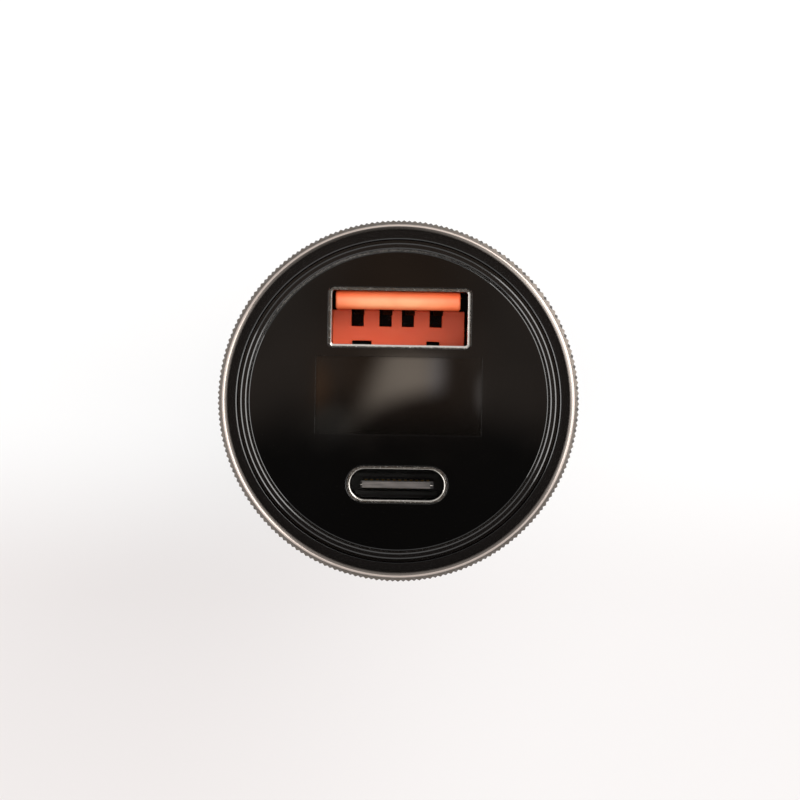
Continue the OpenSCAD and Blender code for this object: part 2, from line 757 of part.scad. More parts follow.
// Barrel
module plug_barrel() {
    rib = 1;
    rib_from = main_board_w / 2 - 0.6;
    rib_gap = 0.08;
    step = collar_r - barrel_r;
    color(black_c) difference() {
        union() {
            rotate_extrude() polygon([
                [barrel_in, -barrel_h], [barrel_r, -barrel_h], [barrel_r, -collar_h - step],
                [collar_r, -collar_h], [collar_r, 0], [neck_r, 0], [neck_r, shell_floor],
                [flange_r, shell_floor], [flange_r, board_z], [flange_r - board_wall, board_z],
                [flange_r - board_wall, flange_top], [barrel_in, flange_top]
            ]);
            for (x = [-1, 1], y = [-1, 1])
                translate([x * (board_face + rib_gap + rib / 2), y * (rib_from + barrel_in + 0.4) / 2, 0])
                    block(rib, barrel_in + 0.4 - rib_from, -eye_z + 0.5, flange_top);
            for (side = [-1, 1]) translate([side * (barrel_in - 0.25), 0, 0])
                block(1.7, 2 * boss_half, -eye_z - 1.2, -eye_z + 1.2);
        }
        for (side = [-1, 1]) scale([side, 1, 1]) {
            translate([eye_x, eye_half, -eye_z]) rotate([90, 0, 0]) cylinder(h = 2 * eye_half, r = eye_r + eye_clear);
            translate([barrel_in - 1.5, -slot_half, -eye_z + 0.4])
                cube([4, 2 * slot_half, eye_z - 0.4 - slot_top_z]);
            translate([barrel_in - 1.5, -window_half, -eye_z - eye_r - eye_clear])
                cube([eye_x - barrel_in + 1.5, 2 * window_half, 2 * (eye_r + eye_clear)]);
        }
    }
}

// Side contact: rolled eye at its root, crest that presses on the socket, end tucked behind the wall
function strip_path() = concat(
    [[eye_x, -eye_z + eye_r - strip_t / 2]],
    curve([eye_x, -eye_z + eye_r], [eye_x + 0.3, -eye_z + 4], [crest_x - strip_t / 2, -crest_z - 4.5],
        [crest_x - strip_t / 2, -crest_z], 10),
    [for (i = [1:10]) bezier([crest_x - strip_t / 2, -crest_z], [crest_x - strip_t / 2, -crest_z + 2.8],
        [tuck_x, -slot_top_z - 3.7], [tuck_x, -slot_top_z - 0.6], i / 10)],
    [[tuck_x, -free_end_z]]
);

module ground_contact() {
    color(nickel_c) {
        pressed(ribbon(strip_path(), strip_t), strip_w);
        translate([eye_x, strip_w / 2, -eye_z]) rotate([90, 0, 0]) cylinder(h = strip_w, r = eye_r);
    }
}
module ground_contact_right() { ground_contact(); }
module ground_contact_left() { mirror([1, 0, 0]) ground_contact(); }

// Tab soldered to the long board, whose end wipes on the side contact's eye
module ground_tab() {
    foot_x = board_face + tab_t / 2;
    end_x = eye_x - eye_r - eye_clear - tab_t / 2;
    bend_z = -eye_z + tab_top - tab_foot;
    path = [
        [foot_x, -eye_z + tab_top], [foot_x, bend_z], [foot_x + tab_bend[0], bend_z - tab_bend[1]],
        [end_x - tab_reach[0], -eye_z + 2 * tab_reach[1]], [end_x, -eye_z + tab_reach[1]],
        [end_x, -eye_z - tab_tip]
    ];
    color(brass_c) pressed(ribbon(path, tab_t), tab_w);
}
module ground_tab_right() { ground_tab(); }
module ground_tab_left() { mirror([1, 0, 0]) ground_tab(); }

// Nose
module nose_cap() {
    edge = 0.5;
    color(black_c) rotate_extrude() polygon([
        [pin_bore_r, nose_z], [nose_tip_r - edge, nose_z], [nose_tip_r, nose_z + edge],
        [barrel_r, -barrel_h - 1], [barrel_r, -barrel_h], [barrel_in - fit_gap, -barrel_h],
        [barrel_in - fit_gap, spigot_top], [barrel_in - barrel_wall, spigot_top],
        [barrel_in - barrel_wall - 0.3, -barrel_h], [well_r, -barrel_h - 1.6], [well_r, nose_floor_z],
        [pin_bore_r, nose_floor_z]
    ]);
}

module centre_contact() {
    dome_h = 1.3;
    neck = coil_r - wire_d / 2 - 0.3;
    tip_z = nose_z - pin_out;
    color(nickel_c) rotate_extrude() polygon(concat(
        [for (i = [0:8]) [pin_r * sin(11.25 * i), tip_z + dome_h * (1 - cos(11.25 * i))]],
        [[pin_r, flange_low_z], [pin_flange_r, flange_low_z], [pin_flange_r, flange_high_z],
         [neck, flange_high_z], [neck, flange_high_z + 1.1], [0, flange_high_z + 1.1]]
    ));
}

// Coil whose first and last turn lie flat, so its pitch runs out at both ends
module contact_spring() {
    sides = 8;
    per_turn = 16;
    rings = per_turn * coil_turns;
    low = flange_high_z + wire_d / 2 + touch / 2;
    high = spring_seat_z - wire_d / 2 - touch / 2;
    dead = 0.75;
    function climb(turn) = min(max((turn - dead) / (coil_turns - 2 * dead), 0), 1);
    function centre_z(turn) = low + wire_d * min(turn, dead) * 0.4 + wire_d * max(turn - coil_turns + dead, 0) * 0.4
        + (high - low - wire_d * dead * 0.8) * climb(turn);
    points = [for (k = [0:rings], s = [0:sides - 1])
        let (a = 360 * k / per_turn, b = 360 * s / sides, r = coil_r + wire_d / 2 * cos(b))
            [r * cos(a), r * sin(a), centre_z(k / per_turn) + wire_d / 2 * sin(b)]];
    faces = concat(
        [[for (s = [sides - 1:-1:0]) s]],
        [for (k = [0:rings - 1], s = [0:sides - 1], half = [0, 1])
            let (a = k * sides + s, b = k * sides + (s + 1) % sides)
                half == 0 ? [a, b, a + sides] : [b, b + sides, a + sides]],
        [[for (s = [0:sides - 1]) rings * sides + s]]
    );
    color(steel_c) polyhedron(points, faces, convexity = 6);
}

module terminal_plate() {
    lug_w = 3;
    lug_h = 2;
    color(nickel_c) {
        translate([0, 0, spring_seat_z]) cylinder(h = terminal_t, r = terminal_r);
        for (side = [-1, 1]) translate([side * (board_face + terminal_t / 2), 0, 0])
            block(terminal_t, lug_w, -main_board_end - eps, -main_board_end + lug_h);
    }
}

head_shell();
trim_ring();
bezel_ring();
front_cover();
face_plate();
display_window();
display_body();
display_segments();
display_pins();
usb_a_shell();
usb_a_insulator();
usb_a_contact(0);  // usb_a_contact_1
usb_a_contact(1);  // usb_a_contact_2
usb_a_contact(2);  // usb_a_contact_3
usb_a_contact(3);  // usb_a_contact_4
usb_c_shell();
usb_c_insulator();
usb_c_midplate();
usb_c_contacts_upper();
usb_c_contacts_lower();
front_board();
main_board();
power_inductor();
input_capacitor();
output_capacitor();
converter_chip();
port_controller();
power_transistors();
board_fuse();
ceramic_capacitors();
plug_barrel();
ground_contact_left();
ground_contact_right();
ground_tab_left();
ground_tab_right();
nose_cap();
centre_contact();
contact_spring();
terminal_plate();
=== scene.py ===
"""Looks of the charger plug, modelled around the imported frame."""
import math

import bpy
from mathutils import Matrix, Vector


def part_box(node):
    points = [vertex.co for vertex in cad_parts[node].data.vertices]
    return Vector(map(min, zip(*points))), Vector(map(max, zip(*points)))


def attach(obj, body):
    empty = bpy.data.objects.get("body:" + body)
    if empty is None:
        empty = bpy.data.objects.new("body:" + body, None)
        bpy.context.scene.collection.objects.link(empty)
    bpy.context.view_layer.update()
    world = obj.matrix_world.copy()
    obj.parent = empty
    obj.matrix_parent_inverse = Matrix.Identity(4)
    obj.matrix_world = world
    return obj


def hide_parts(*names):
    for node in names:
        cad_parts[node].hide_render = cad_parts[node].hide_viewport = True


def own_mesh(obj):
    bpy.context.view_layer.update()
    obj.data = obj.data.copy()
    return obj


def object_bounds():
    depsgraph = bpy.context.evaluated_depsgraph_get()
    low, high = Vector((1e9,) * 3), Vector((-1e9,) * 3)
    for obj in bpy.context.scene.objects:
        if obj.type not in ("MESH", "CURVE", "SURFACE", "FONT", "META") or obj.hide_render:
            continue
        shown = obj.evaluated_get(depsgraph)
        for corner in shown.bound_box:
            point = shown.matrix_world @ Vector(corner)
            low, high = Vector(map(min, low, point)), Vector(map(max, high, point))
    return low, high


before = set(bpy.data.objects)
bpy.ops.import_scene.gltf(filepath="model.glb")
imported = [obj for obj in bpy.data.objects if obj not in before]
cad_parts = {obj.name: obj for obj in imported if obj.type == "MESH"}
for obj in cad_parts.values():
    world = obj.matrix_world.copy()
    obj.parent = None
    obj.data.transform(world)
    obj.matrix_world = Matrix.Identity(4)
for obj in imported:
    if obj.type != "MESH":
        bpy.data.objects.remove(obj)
cad_low, cad_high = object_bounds()

MM = 0.001
UP = Vector((0, 0, 1))

# Sizes in millimetres, as in the part's source
TIP_R = 16.0
VALLEY_R = 15.72
SHELL_R = 15.5
SLEEVE_WALL = 1.6
SHOULDER_R = 13.4
SWELL_H = 7.5
BORE_R = 15.19
SPIGOT_R = 15.18
BEZEL_R = 14.3
COVER_FLANGE_R = 14.26
COVER_R = 14.0
RIM_R = 13.45
PLATE_R = 13.26
SKIRT_R = 12.96
COVER_FLOOR_R = 12.3
RING_Z = 16.7
KNURL_TOP = 21.45
BEZEL_Z = 20.0
BEZEL_TOP = 21.5
PLATE_Z = 20.5
PLATE_TOP = 21.5
RIM_TOP = 21.65
COVER_ROOT = 20.4
COVER_SEAT = 17.5
COVER_FLOOR = 19.0
MOUTH_Z = 21.3
BOARD_TOP = 7.6
KNURL_COLUMNS = 210
KNURL_ROWS = 10
# Radial gap of a seat, and gap round a port
FIT_GAP = 0.04
PORT_GAP = 0.04

USB_A_Y = 7.34
USB_A_SIZE = (12.62, 5.32)
USB_A_INNER = (12.06, 4.76)
USB_A_WALL = 12.4
TONGUE_W = 11.06
TONGUE_T = 1.64
TONGUE_TIP = 20.5
INSULATOR_SHIFT = -0.18
LEG_W, LEG_LOW = 1.6, 5.6
SLOT_W = 1.08
SLOT_H = 1.42
SLOT_UP = 0.45
SLOT_PLACES = (-3.5, -1.0, 1.0, 3.5)
NOTCHES = ((-4.08, 1.75), (2.6, 1.15))
NOTCH_H = 0.35

USB_C_Y = -7.41
USB_C_SIZE = (8.94, 3.24)
USB_C_INNER = (8.34, 2.68)
USB_C_WALL = 15.1
USB_C_TONGUE = (6.5, 0.66)
USB_C_TIP = 20.65

WINDOW_Y = 0.45
WINDOW_SIZE = (14.7, 6.9)
DISPLAY_OPENING = (14.28, 6.48)

NECK_R = 11.0
FLANGE_R, FLANGE_LOW, FLANGE_TOP = 12.2, 1.6, 3.1
BOARD_SEAT_R, BOARD_SEAT_Z = 10.9, 6.4
COLLAR_R = 10.45
COLLAR_H = 8.0
BARREL_R = 10.2
BARREL_IN = 9.0
BARREL_H = 33.0
NOSE_EDGE_Z = -34.0
NOSE_Z = -38.5
NOSE_TIP_R = 7.6
NOSE_FLOOR_Z = -36.9
NOSE_BORE_R = 3.1
WELL_R, WELL_TOP = 4.7, -34.6
PLUG_R, PLUG_TOP = 8.96, -31.5
PIN_R = 3.0
PIN_TIP = -41.8
PIN_DOME_H = 1.3
PIN_FLANGE_R, PIN_FLANGE_LOW, PIN_FLANGE_TOP = 4.5, -36.88, -35.88
PIN_GUIDE_R, PIN_GUIDE_TOP = 2.35, -34.78
WIRE_D, COIL_R, COIL_TURNS = 0.5, 2.9, 6
EYE_X = 9.1
EYE_Z = -30.0
EYE_R = 0.6
EYE_CLEAR = 0.05
STRIP_W = 4.6
STRIP_T = 0.4
CREST_X = 11.9
CREST_Z = -17.0
SLOT_TOP = -10.3
TUCK_X = 8.451
STRIP_END = -9.2

# Steps round the axis and round a corner, and the distance within which points are one
FINE_STEPS = 224
CORNER_STEPS = 8
CLOSE = 0.001
# A corner that makes a rectangle's short sides round
ROUND_ENDS = 9

# The two port openings through the plate and the cover: size, corner and centre
OPENINGS = [(tuple(side + 2 * PORT_GAP for side in size), corner, (0, y))
            for size, corner, y in ((USB_A_SIZE, 0.5, USB_A_Y), (USB_C_SIZE, ROUND_ENDS, USB_C_Y))]


# Modelling

def clear_selection():
    bpy.ops.object.select_all(action="DESELECT")


def take(piece):
    clear_selection()
    piece.select_set(True)
    bpy.context.view_layer.objects.active = piece


def open_up(piece):
    """Takes a piece into edit mode."""
    take(piece)
    bpy.ops.object.mode_set(mode="EDIT")


def leave():
    bpy.ops.object.mode_set(mode="OBJECT")


def pick_all():
    bpy.ops.mesh.select_all(action="SELECT")


def pick_vertices(piece, test):
    """In edit mode, selects the vertices that pass the test on their place in millimetres."""
    bpy.ops.mesh.select_all(action="DESELECT")
    leave()
    for vertex in piece.data.vertices:
        vertex.select = bool(test(vertex.co / MM))
    bpy.ops.object.mode_set(mode="EDIT")


def push(way):
    """In edit mode, extrudes what is selected along a way in millimetres."""
    bpy.ops.mesh.extrude_region_move(TRANSFORM_OT_translate={"value": Vector(way) * MM})


def swell(across, up=None):
    """In edit mode, scales what is selected about the axis, in X and in Y."""
    bpy.ops.transform.resize(value=(across, up or across, 1), center_override=(0, 0, 0))


def put_down(piece):
    """Leaves edit mode and puts the piece's place into its mesh."""
    leave()
    take(piece)
    bpy.ops.object.transform_apply(location=True, rotation=True, scale=True)
    return piece


def start_outline(name, place):
    """One vertex at a place in millimetres, in edit mode, ready to be drawn out."""
    clear_selection()
    bpy.ops.mesh.primitive_plane_add(size=MM, location=Vector(place) * MM)
    piece = bpy.context.object
    piece.name = name
    bpy.ops.object.mode_set(mode="EDIT")
    pick_all()
    bpy.ops.mesh.merge(type="CENTER")
    return piece


def draw(name, places, closed=True):
    """Edges drawn from place to place, in millimetres. Ends in edit mode."""
    places = [Vector(p) for p in places]
    piece = start_outline(name, places[0])
    for before, after in zip(places, places[1:]):
        bpy.ops.mesh.extrude_vertices_move(TRANSFORM_OT_translate={"value": (after - before) * MM})
    put_down(piece)
    bpy.ops.object.mode_set(mode="EDIT")
    if closed:
        ends = (places[0], places[-1])
        pick_vertices(piece, lambda p: any((p - end).length < CLOSE for end in ends))
        bpy.ops.mesh.edge_face_add()
    pick_all()
    return piece


def merge_doubles():
    pick_all()
    bpy.ops.mesh.remove_doubles(threshold=CLOSE * MM)


def close_up():
    """Merges doubles, turns the faces outwards and leaves edit mode."""
    merge_doubles()
    bpy.ops.mesh.normals_make_consistent(inside=False)
    leave()


def use_modifier(piece, kind, **settings):
    take(piece)
    modifier = piece.modifiers.new(kind.title(), kind)
    for key, value in settings.items():
        setattr(modifier, key, value)
    bpy.ops.object.modifier_apply(modifier=modifier.name)
    return piece


def soften(piece, width, segments=2, angle=28):
    """Smooth shading over small angles, and edges rounded by a width in millimetres between flat faces."""
    take(piece)
    bpy.ops.object.shade_smooth_by_angle(angle=math.radians(angle))
    if width:
        use_modifier(piece, "BEVEL", width=width * MM, segments=segments, limit_method="ANGLE",
                     angle_limit=math.radians(angle), miter_outer="MITER_ARC", use_clamp_overlap=True,
                     harden_normals=True)
    return piece


def merge_flats(piece):
    """Takes out the edges that cross flat faces, as a cut or a join leaves them."""
    open_up(piece)
    merge_doubles()
    bpy.ops.mesh.dissolve_limited(angle_limit=math.radians(0.5))
    leave()
    return piece


def turned(name, outline, steps=FINE_STEPS):
    """A turned piece: its half section, given as radius and height, spun round the axis."""
    on_axis = outline[0][0] == 0 and outline[-1][0] == 0
    piece = draw(name, [(r, 0, z) for r, z in outline], closed=not on_axis)
    bpy.ops.mesh.spin(steps=steps, angle=2 * math.pi, center=(0, 0, 0), axis=(0, 0, 1))
    close_up()
    return piece


def round_corners(size, corner):
    """In edit mode, turns the rectangle that is selected into a rounded outline."""
    if corner:
        widest = min(size) / 2 * 0.999
        bpy.ops.mesh.bevel(offset=min(corner, widest) * MM, segments=CORNER_STEPS, affect="VERTICES")
    bpy.ops.mesh.delete(type="ONLY_FACE")


def add_outline(size, corner, place):
    """In edit mode, adds a rounded rectangle's outline at a place, all in millimetres."""
    bpy.ops.mesh.primitive_plane_add(size=MM, location=Vector(place) * MM)
    bpy.ops.transform.resize(value=(size[0], size[1], 1), center_override=Vector(place) * MM)
    round_corners(size, corner)


def slab(name, outlines, low, high, round_r=None):
    """A plate between two heights from outlines of (size, corner, centre), the first the outer one."""
    clear_selection()
    if round_r:
        bpy.ops.mesh.primitive_circle_add(vertices=FINE_STEPS, radius=round_r * MM, location=(0, 0, low * MM))
    else:
        (size, corner, (x, y)), *outlines = outlines
        bpy.ops.mesh.primitive_plane_add(size=MM, location=(x * MM, y * MM, low * MM))
        bpy.context.object.scale = (*size, 1)
        bpy.ops.object.transform_apply(location=False, rotation=False, scale=True)
    piece = bpy.context.object
    piece.name = name
    put_down(piece)
    bpy.ops.object.mode_set(mode="EDIT")
    pick_all()
    if not round_r:
        round_corners(size, corner)
    for size, corner, centre in outlines:
        add_outline(size, corner, (*centre, low))
    pick_all()
    bpy.ops.mesh.fill(use_beauty=True)
    pick_all()
    push(UP * (high - low))
    close_up()
    return piece


def flare(piece, test, size, centre, left, right, back, front):
    """Moves the outline that passes the test outwards, by its own amount in millimetres on each side."""
    open_up(piece)
    pick_vertices(piece, test)
    grow = Vector(((size[0] + left + right) / size[0], (size[1] + back + front) / size[1], 1))
    pivot = Vector((centre[0] + size[0] * (left / (left + right) - 0.5),
                    centre[1] + size[1] * (front / (back + front) - 0.5), 0))
    bpy.ops.transform.resize(value=grow, center_override=pivot * MM)
    leave()
    return piece


def lip(piece, size, centre, top, height, sides):
    """Raises the top of a shell by a last step whose inner edge leans outwards."""
    open_up(piece)
    pick_vertices(piece, lambda p: p.z > top - height - 0.01)
    push(UP * height)
    leave()

    def is_inner_edge(p):
        return p.z > top - 0.01 and all(abs(p[n] - centre[n]) < size[n] / 2 + 0.05 for n in (0, 1))

    return flare(piece, is_inner_edge, size, centre, *sides)


def box_piece(name, low, high):
    """A box between two corners in millimetres, for cutting or joining."""
    low, high = Vector(low), Vector(high)
    clear_selection()
    bpy.ops.mesh.primitive_cube_add(size=MM, location=(low + high) / 2 * MM)
    piece = bpy.context.object
    piece.name = name
    piece.scale = high - low
    return put_down(piece)


def combine(piece, tool, operation):
    """Cuts the tool from the piece, or joins it to the piece, and takes the tool away."""
    use_modifier(piece, "BOOLEAN", operation=operation, solver="EXACT", object=tool)
    bpy.data.objects.remove(tool, do_unlink=True)
    return piece


def join(piece, other):
    take(piece)
    other.select_set(True)
    bpy.ops.object.join()
    return piece


def prism(name, places, way):
    """A flat face drawn from place to place and pushed along a way, in millimetres."""
    piece = draw(name, places)
    bpy.ops.mesh.edge_face_add()
    push(way)
    close_up()
    return piece


def bezier(a, b, c, d, t):
    a, b, c, d = (Vector(p) for p in (a, b, c, d))
    return (1 - t) ** 3 * a + 3 * (1 - t) ** 2 * t * b + 3 * (1 - t) * t * t * c + t ** 3 * d


# Pieces

def make_grip_ring():
    """Knurled ring: a tube drawn up row by row, with every second point pushed out to a tip."""
    clear_selection()
    step = 2 * math.pi / KNURL_COLUMNS
    # Half a step of turn brings the first point onto the X axis, as in the part's source
    bpy.ops.mesh.primitive_circle_add(vertices=KNURL_COLUMNS, radius=VALLEY_R * MM,
                                      location=(0, 0, RING_Z * MM), rotation=(0, 0, step / 2))
    ring = bpy.context.object
    ring.name = "grip_ring"
    put_down(ring)
    bpy.ops.object.mode_set(mode="EDIT")
    pick_all()
    row = (KNURL_TOP - RING_Z) / KNURL_ROWS
    for _ in range(KNURL_ROWS):
        push(UP * row)

    def is_tip(p):
        column = round(math.atan2(p.y, p.x) / step)
        return (column + round((p.z - RING_Z) / row)) % 2 == 0

    pick_vertices(ring, is_tip)
    swell(TIP_R / VALLEY_R)
    pick_all()
    bpy.ops.mesh.quads_convert_to_tris(quad_method="SHORTEST_DIAGONAL")
    # The plain rim: neck over the knurl, rounded ridge, chamfer and bore
    pick_vertices(ring, lambda p: p.z > KNURL_TOP - 0.01)
    radius, height = None, KNURL_TOP
    rim = [(15.66, 21.52), (15.655, 21.8), (15.63, 21.91), (15.575, 21.975), (15.5, 22.0), (15.46, 21.985),
           (15.185, 21.735), (15.165, 21.7), (BORE_R, BEZEL_TOP), (BORE_R, RING_Z)]
    for r, z in rim:
        push(UP * (z - height))
        if radius is None:
            # Brings tips and valleys of the last row back to one circle
            leave()
            top = max(v.co.z for v in ring.data.vertices) - CLOSE * MM
            tips = [v.co.to_2d().length / MM for v in ring.data.vertices if v.co.z > top]
            bpy.ops.object.mode_set(mode="EDIT")
            pick_vertices(ring, lambda p: p.z > z - CLOSE and p.to_2d().length > max(tips) - 0.01)
            swell(r / TIP_R)
            pick_vertices(ring, lambda p: p.z > z - CLOSE and p.to_2d().length > r + CLOSE)
            swell(r / VALLEY_R)
            pick_vertices(ring, lambda p: p.z > z - CLOSE)
        else:
            swell(r / radius)
        radius, height = r, z
    # Closes the foot between the knurl and the bore
    pick_vertices(ring, lambda p: p.z < RING_Z + 0.01)
    bpy.ops.mesh.bridge_edge_loops()
    close_up()
    return soften(ring, 0, angle=24)


def chamfer(edge_r, top, inwards, wide=0.12):
    """A shallow chamfer, 29 degrees off level, at an edge of a turned outline. Goes from the top to the side."""
    step = -inwards * wide
    return [(edge_r - step, top), (edge_r - 0.13 * step, top - 0.48 * wide), (edge_r, top - 0.8 * wide)]


def make_bezel():
    bezel = turned("bezel_band", [
        (BEZEL_R, BEZEL_Z), (SPIGOT_R, BEZEL_Z), (SPIGOT_R, BEZEL_TOP), *chamfer(BEZEL_R, BEZEL_TOP, 1)])
    # Its inner chamfer is a little narrower at the lower side, as on the real one
    lean = 0.035
    open_up(bezel)
    pick_vertices(bezel, lambda p: p.z > BEZEL_TOP - 0.01 and p.xy.length < BEZEL_R + 0.2)
    swell(1, 1 - lean / BEZEL_R)
    bpy.ops.transform.translate(value=(0, lean * MM, 0))
    leave()
    return soften(bezel, 0.03, 2, angle=12)


def make_cover():
    rim = turned("cover_rim", [
        (SKIRT_R, COVER_SEAT), (COVER_FLANGE_R, COVER_SEAT), (COVER_FLANGE_R, COVER_ROOT), (COVER_R, COVER_ROOT),
        *reversed(chamfer(COVER_R, RIM_TOP, -1)), *chamfer(RIM_R, RIM_TOP, 1), (RIM_R, PLATE_Z),
        (COVER_FLOOR_R, PLATE_Z), (COVER_FLOOR_R, COVER_FLOOR), (SKIRT_R, COVER_FLOOR)])
    # The floor under the plate, inside the turned rim, with the three openings
    floor = slab("cover_floor", [*OPENINGS, (DISPLAY_OPENING, 0, (0, WINDOW_Y))],
                 COVER_FLOOR, PLATE_Z, round_r=COVER_FLOOR_R + 0.3)
    combine(rim, floor, "UNION")
    return soften(merge_flats(rim), 0.03, 2, angle=12)


def make_plate():
    plate = turned("front_disc", [
        (0, PLATE_Z), (PLATE_R, PLATE_Z), *reversed(chamfer(PLATE_R, PLATE_TOP, -1, 0.085)), (0, PLATE_TOP)])
    window = (tuple(side + FIT_GAP for side in WINDOW_SIZE), 0.05, (0, WINDOW_Y))
    # The edges of the ports' openings are broken, the USB-C one's a little more to the left
    for opening, left in zip((*OPENINGS, window), (0.04, 0.12, None)):
        combine(plate, slab("hole", [opening], PLATE_Z - 1, PLATE_TOP + 1), "DIFFERENCE")
        if left:
            edge = slab("edge", [opening], PLATE_TOP - 0.05, PLATE_TOP + 0.05)
            size, _, centre = opening
            flare(edge, lambda p: p.z > PLATE_TOP, size, centre, left, 0.04, 0.05, 0.04)
            combine(plate, edge, "DIFFERENCE")
    return soften(merge_flats(plate), 0.015, 2, angle=12)


def make_window():
    window = slab("window_lens", [(WINDOW_SIZE, 0.04, (0, WINDOW_Y))], PLATE_Z, PLATE_TOP)
    return soften(window, 0.01, 2)


def add_legs(shell, x, y, half):
    """Solder legs that reach from the shell through the board."""
    for side in (-1, 1):
        leg = box_piece("leg", (side * x - half, y - LEG_W / 2, LEG_LOW),
                        (side * x + half, y + LEG_W / 2, BOARD_TOP + 0.3))
        join(shell, soften(leg, 0.04, 1))
    return shell


def make_usb_a_shell():
    centre, lip_h = (0, USB_A_Y), 0.08
    shell = slab("usb_a_can", [(USB_A_SIZE, 0.5, centre), (USB_A_INNER, 0.22, centre)], BOARD_TOP, MOUTH_Z - lip_h)
    lip(shell, USB_A_INNER, centre, MOUTH_Z, lip_h, (0.08, 0.17, 0.05, 0.15))
    # Spring leaves, freed on three sides, that hold the plug
    leaf_z, leaf_half, leaf_long, cut = MOUTH_Z - 4.2, 0.9, 2.4, 0.3
    foot, tip = leaf_z - leaf_long, leaf_z + leaf_long
    for x in (-3, 3):
        left, right = x - leaf_half, x + leaf_half
        for low, high in (((left - cut, foot), (left, tip)), ((right, foot), (right + cut, tip)),
                          ((left - cut, tip - cut), (right + cut, tip))):
            tool = box_piece("leaf_cut", (low[0], USB_A_Y - 4, low[1]), (high[0], USB_A_Y + 4, high[1]))
            combine(shell, tool, "DIFFERENCE")
    soften(merge_flats(shell), 0.04, 2)
    half_sheet = (USB_A_SIZE[0] - USB_A_INNER[0]) / 4
    return add_legs(shell, USB_A_SIZE[0] / 2 - half_sheet, USB_A_Y, half_sheet)


def make_usb_a_insulator():
    x0 = INSULATOR_SHIFT
    low = USB_A_Y - USB_A_INNER[1] / 2 + FIT_GAP
    tongue_high = USB_A_Y + USB_A_INNER[1] / 2 - 0.01
    tongue_low = tongue_high - TONGUE_T
    # Back wall: a comb whose slots open under the tongue
    left, right = -6.0, 5.79
    comb = [(left, low)]
    for start, width in NOTCHES:
        comb += [(x0 + start, low), (x0 + start, low + NOTCH_H),
                 (x0 + start + width, low + NOTCH_H), (x0 + start + width, low)]
    root = tongue_low + 0.02
    comb += [(right, low), (right, root)]
    for place in reversed(SLOT_PLACES):
        slot_left, slot_right = x0 + place - 0.1 - SLOT_W / 2, x0 + place - 0.1 + SLOT_W / 2
        comb += [(slot_right, root), (slot_right, tongue_low - SLOT_H),
                 (slot_left, tongue_low - SLOT_H), (slot_left, root)]
    comb += [(left, root)]
    block = prism("usb_a_insert", [(x, y, BOARD_TOP) for x, y in comb], UP * (USB_A_WALL - BOARD_TOP))
    # Tongue with its rounded nose
    nose = TONGUE_T * 0.48
    turn = [math.radians(11.25 * n) for n in range(9)]
    section = [(tongue_low, BOARD_TOP + 0.3), (tongue_high, BOARD_TOP + 0.3)]
    section += [(tongue_high - nose + nose * math.cos(a), TONGUE_TIP - nose + nose * math.sin(a)) for a in turn]
    section += [(tongue_low + nose - nose * math.sin(a), TONGUE_TIP - nose + nose * math.cos(a)) for a in turn]
    tongue = prism("usb_a_tongue", [(x0 - TONGUE_W / 2, y, z) for y, z in section], (TONGUE_W, 0, 0))
    for place in SLOT_PLACES:
        groove = box_piece("groove", (x0 + place - 0.07 - SLOT_W / 2, tongue_low - 1, BOARD_TOP - 1),
                           (x0 + place + 0.03 + SLOT_W / 2, tongue_low + SLOT_UP, TONGUE_TIP - 1.2))
        combine(tongue, groove, "DIFFERENCE")
    # The ends of the tongue are well rounded, the edges of the block only a little
    soften(merge_flats(tongue), 0.22, 4, angle=50)
    return join(soften(block, 0.05, 2), tongue)


def make_usb_c_shell():
    centre, lip_h = (0, USB_C_Y), 0.07
    shell = slab("usb_c_can", [(USB_C_SIZE, ROUND_ENDS, centre), (USB_C_INNER, ROUND_ENDS, centre)],
                 BOARD_TOP, MOUTH_Z - lip_h)
    lip(shell, USB_C_INNER, centre, MOUTH_Z, lip_h, (0.08, 0.09, 0.06, 0.1))
    soften(shell, 0.04, 2)
    half_sheet = (USB_C_SIZE[0] - USB_C_INNER[0]) / 4
    return add_legs(shell, USB_C_SIZE[0] / 2 - half_sheet, USB_C_Y, half_sheet)


def make_usb_c_insulator():
    body = slab("usb_c_insert", [((8.26, 2.48), ROUND_ENDS, (0, USB_C_Y))], BOARD_TOP, USB_C_WALL)
    tongue = slab("usb_c_tongue", [(USB_C_TONGUE, 0.12, (0, USB_C_Y))], BOARD_TOP + 1, USB_C_TIP - 0.35)
    bar = box_piece("usb_c_bar", (-3.1, USB_C_Y - 0.32, BOARD_TOP + 2), (2.95, USB_C_Y + 0.24, USB_C_TIP))
    combine(tongue, bar, "UNION")
    combine(body, tongue, "UNION")
    for side in (-1, 1):
        # Ledges that carry the ground springs on both sides of the tongue's root
        low, high = sorted((USB_C_Y + side * 0.62, USB_C_Y + side * 0.95))
        ledge = box_piece("ledge", (-3.7, low, USB_C_WALL - 1), (3.6, high, USB_C_WALL + 1.2))
        combine(body, ledge, "UNION")
    return soften(merge_flats(body), 0.06, 2)


def make_usb_c_midplate():
    plate = box_piece("usb_c_steel_plate", (-3.28, USB_C_Y - 0.1, BOARD_TOP + 1.5),
                      (3.17, USB_C_Y + 0.02, USB_C_TIP - 0.15))
    return soften(plate, 0.06, 3)


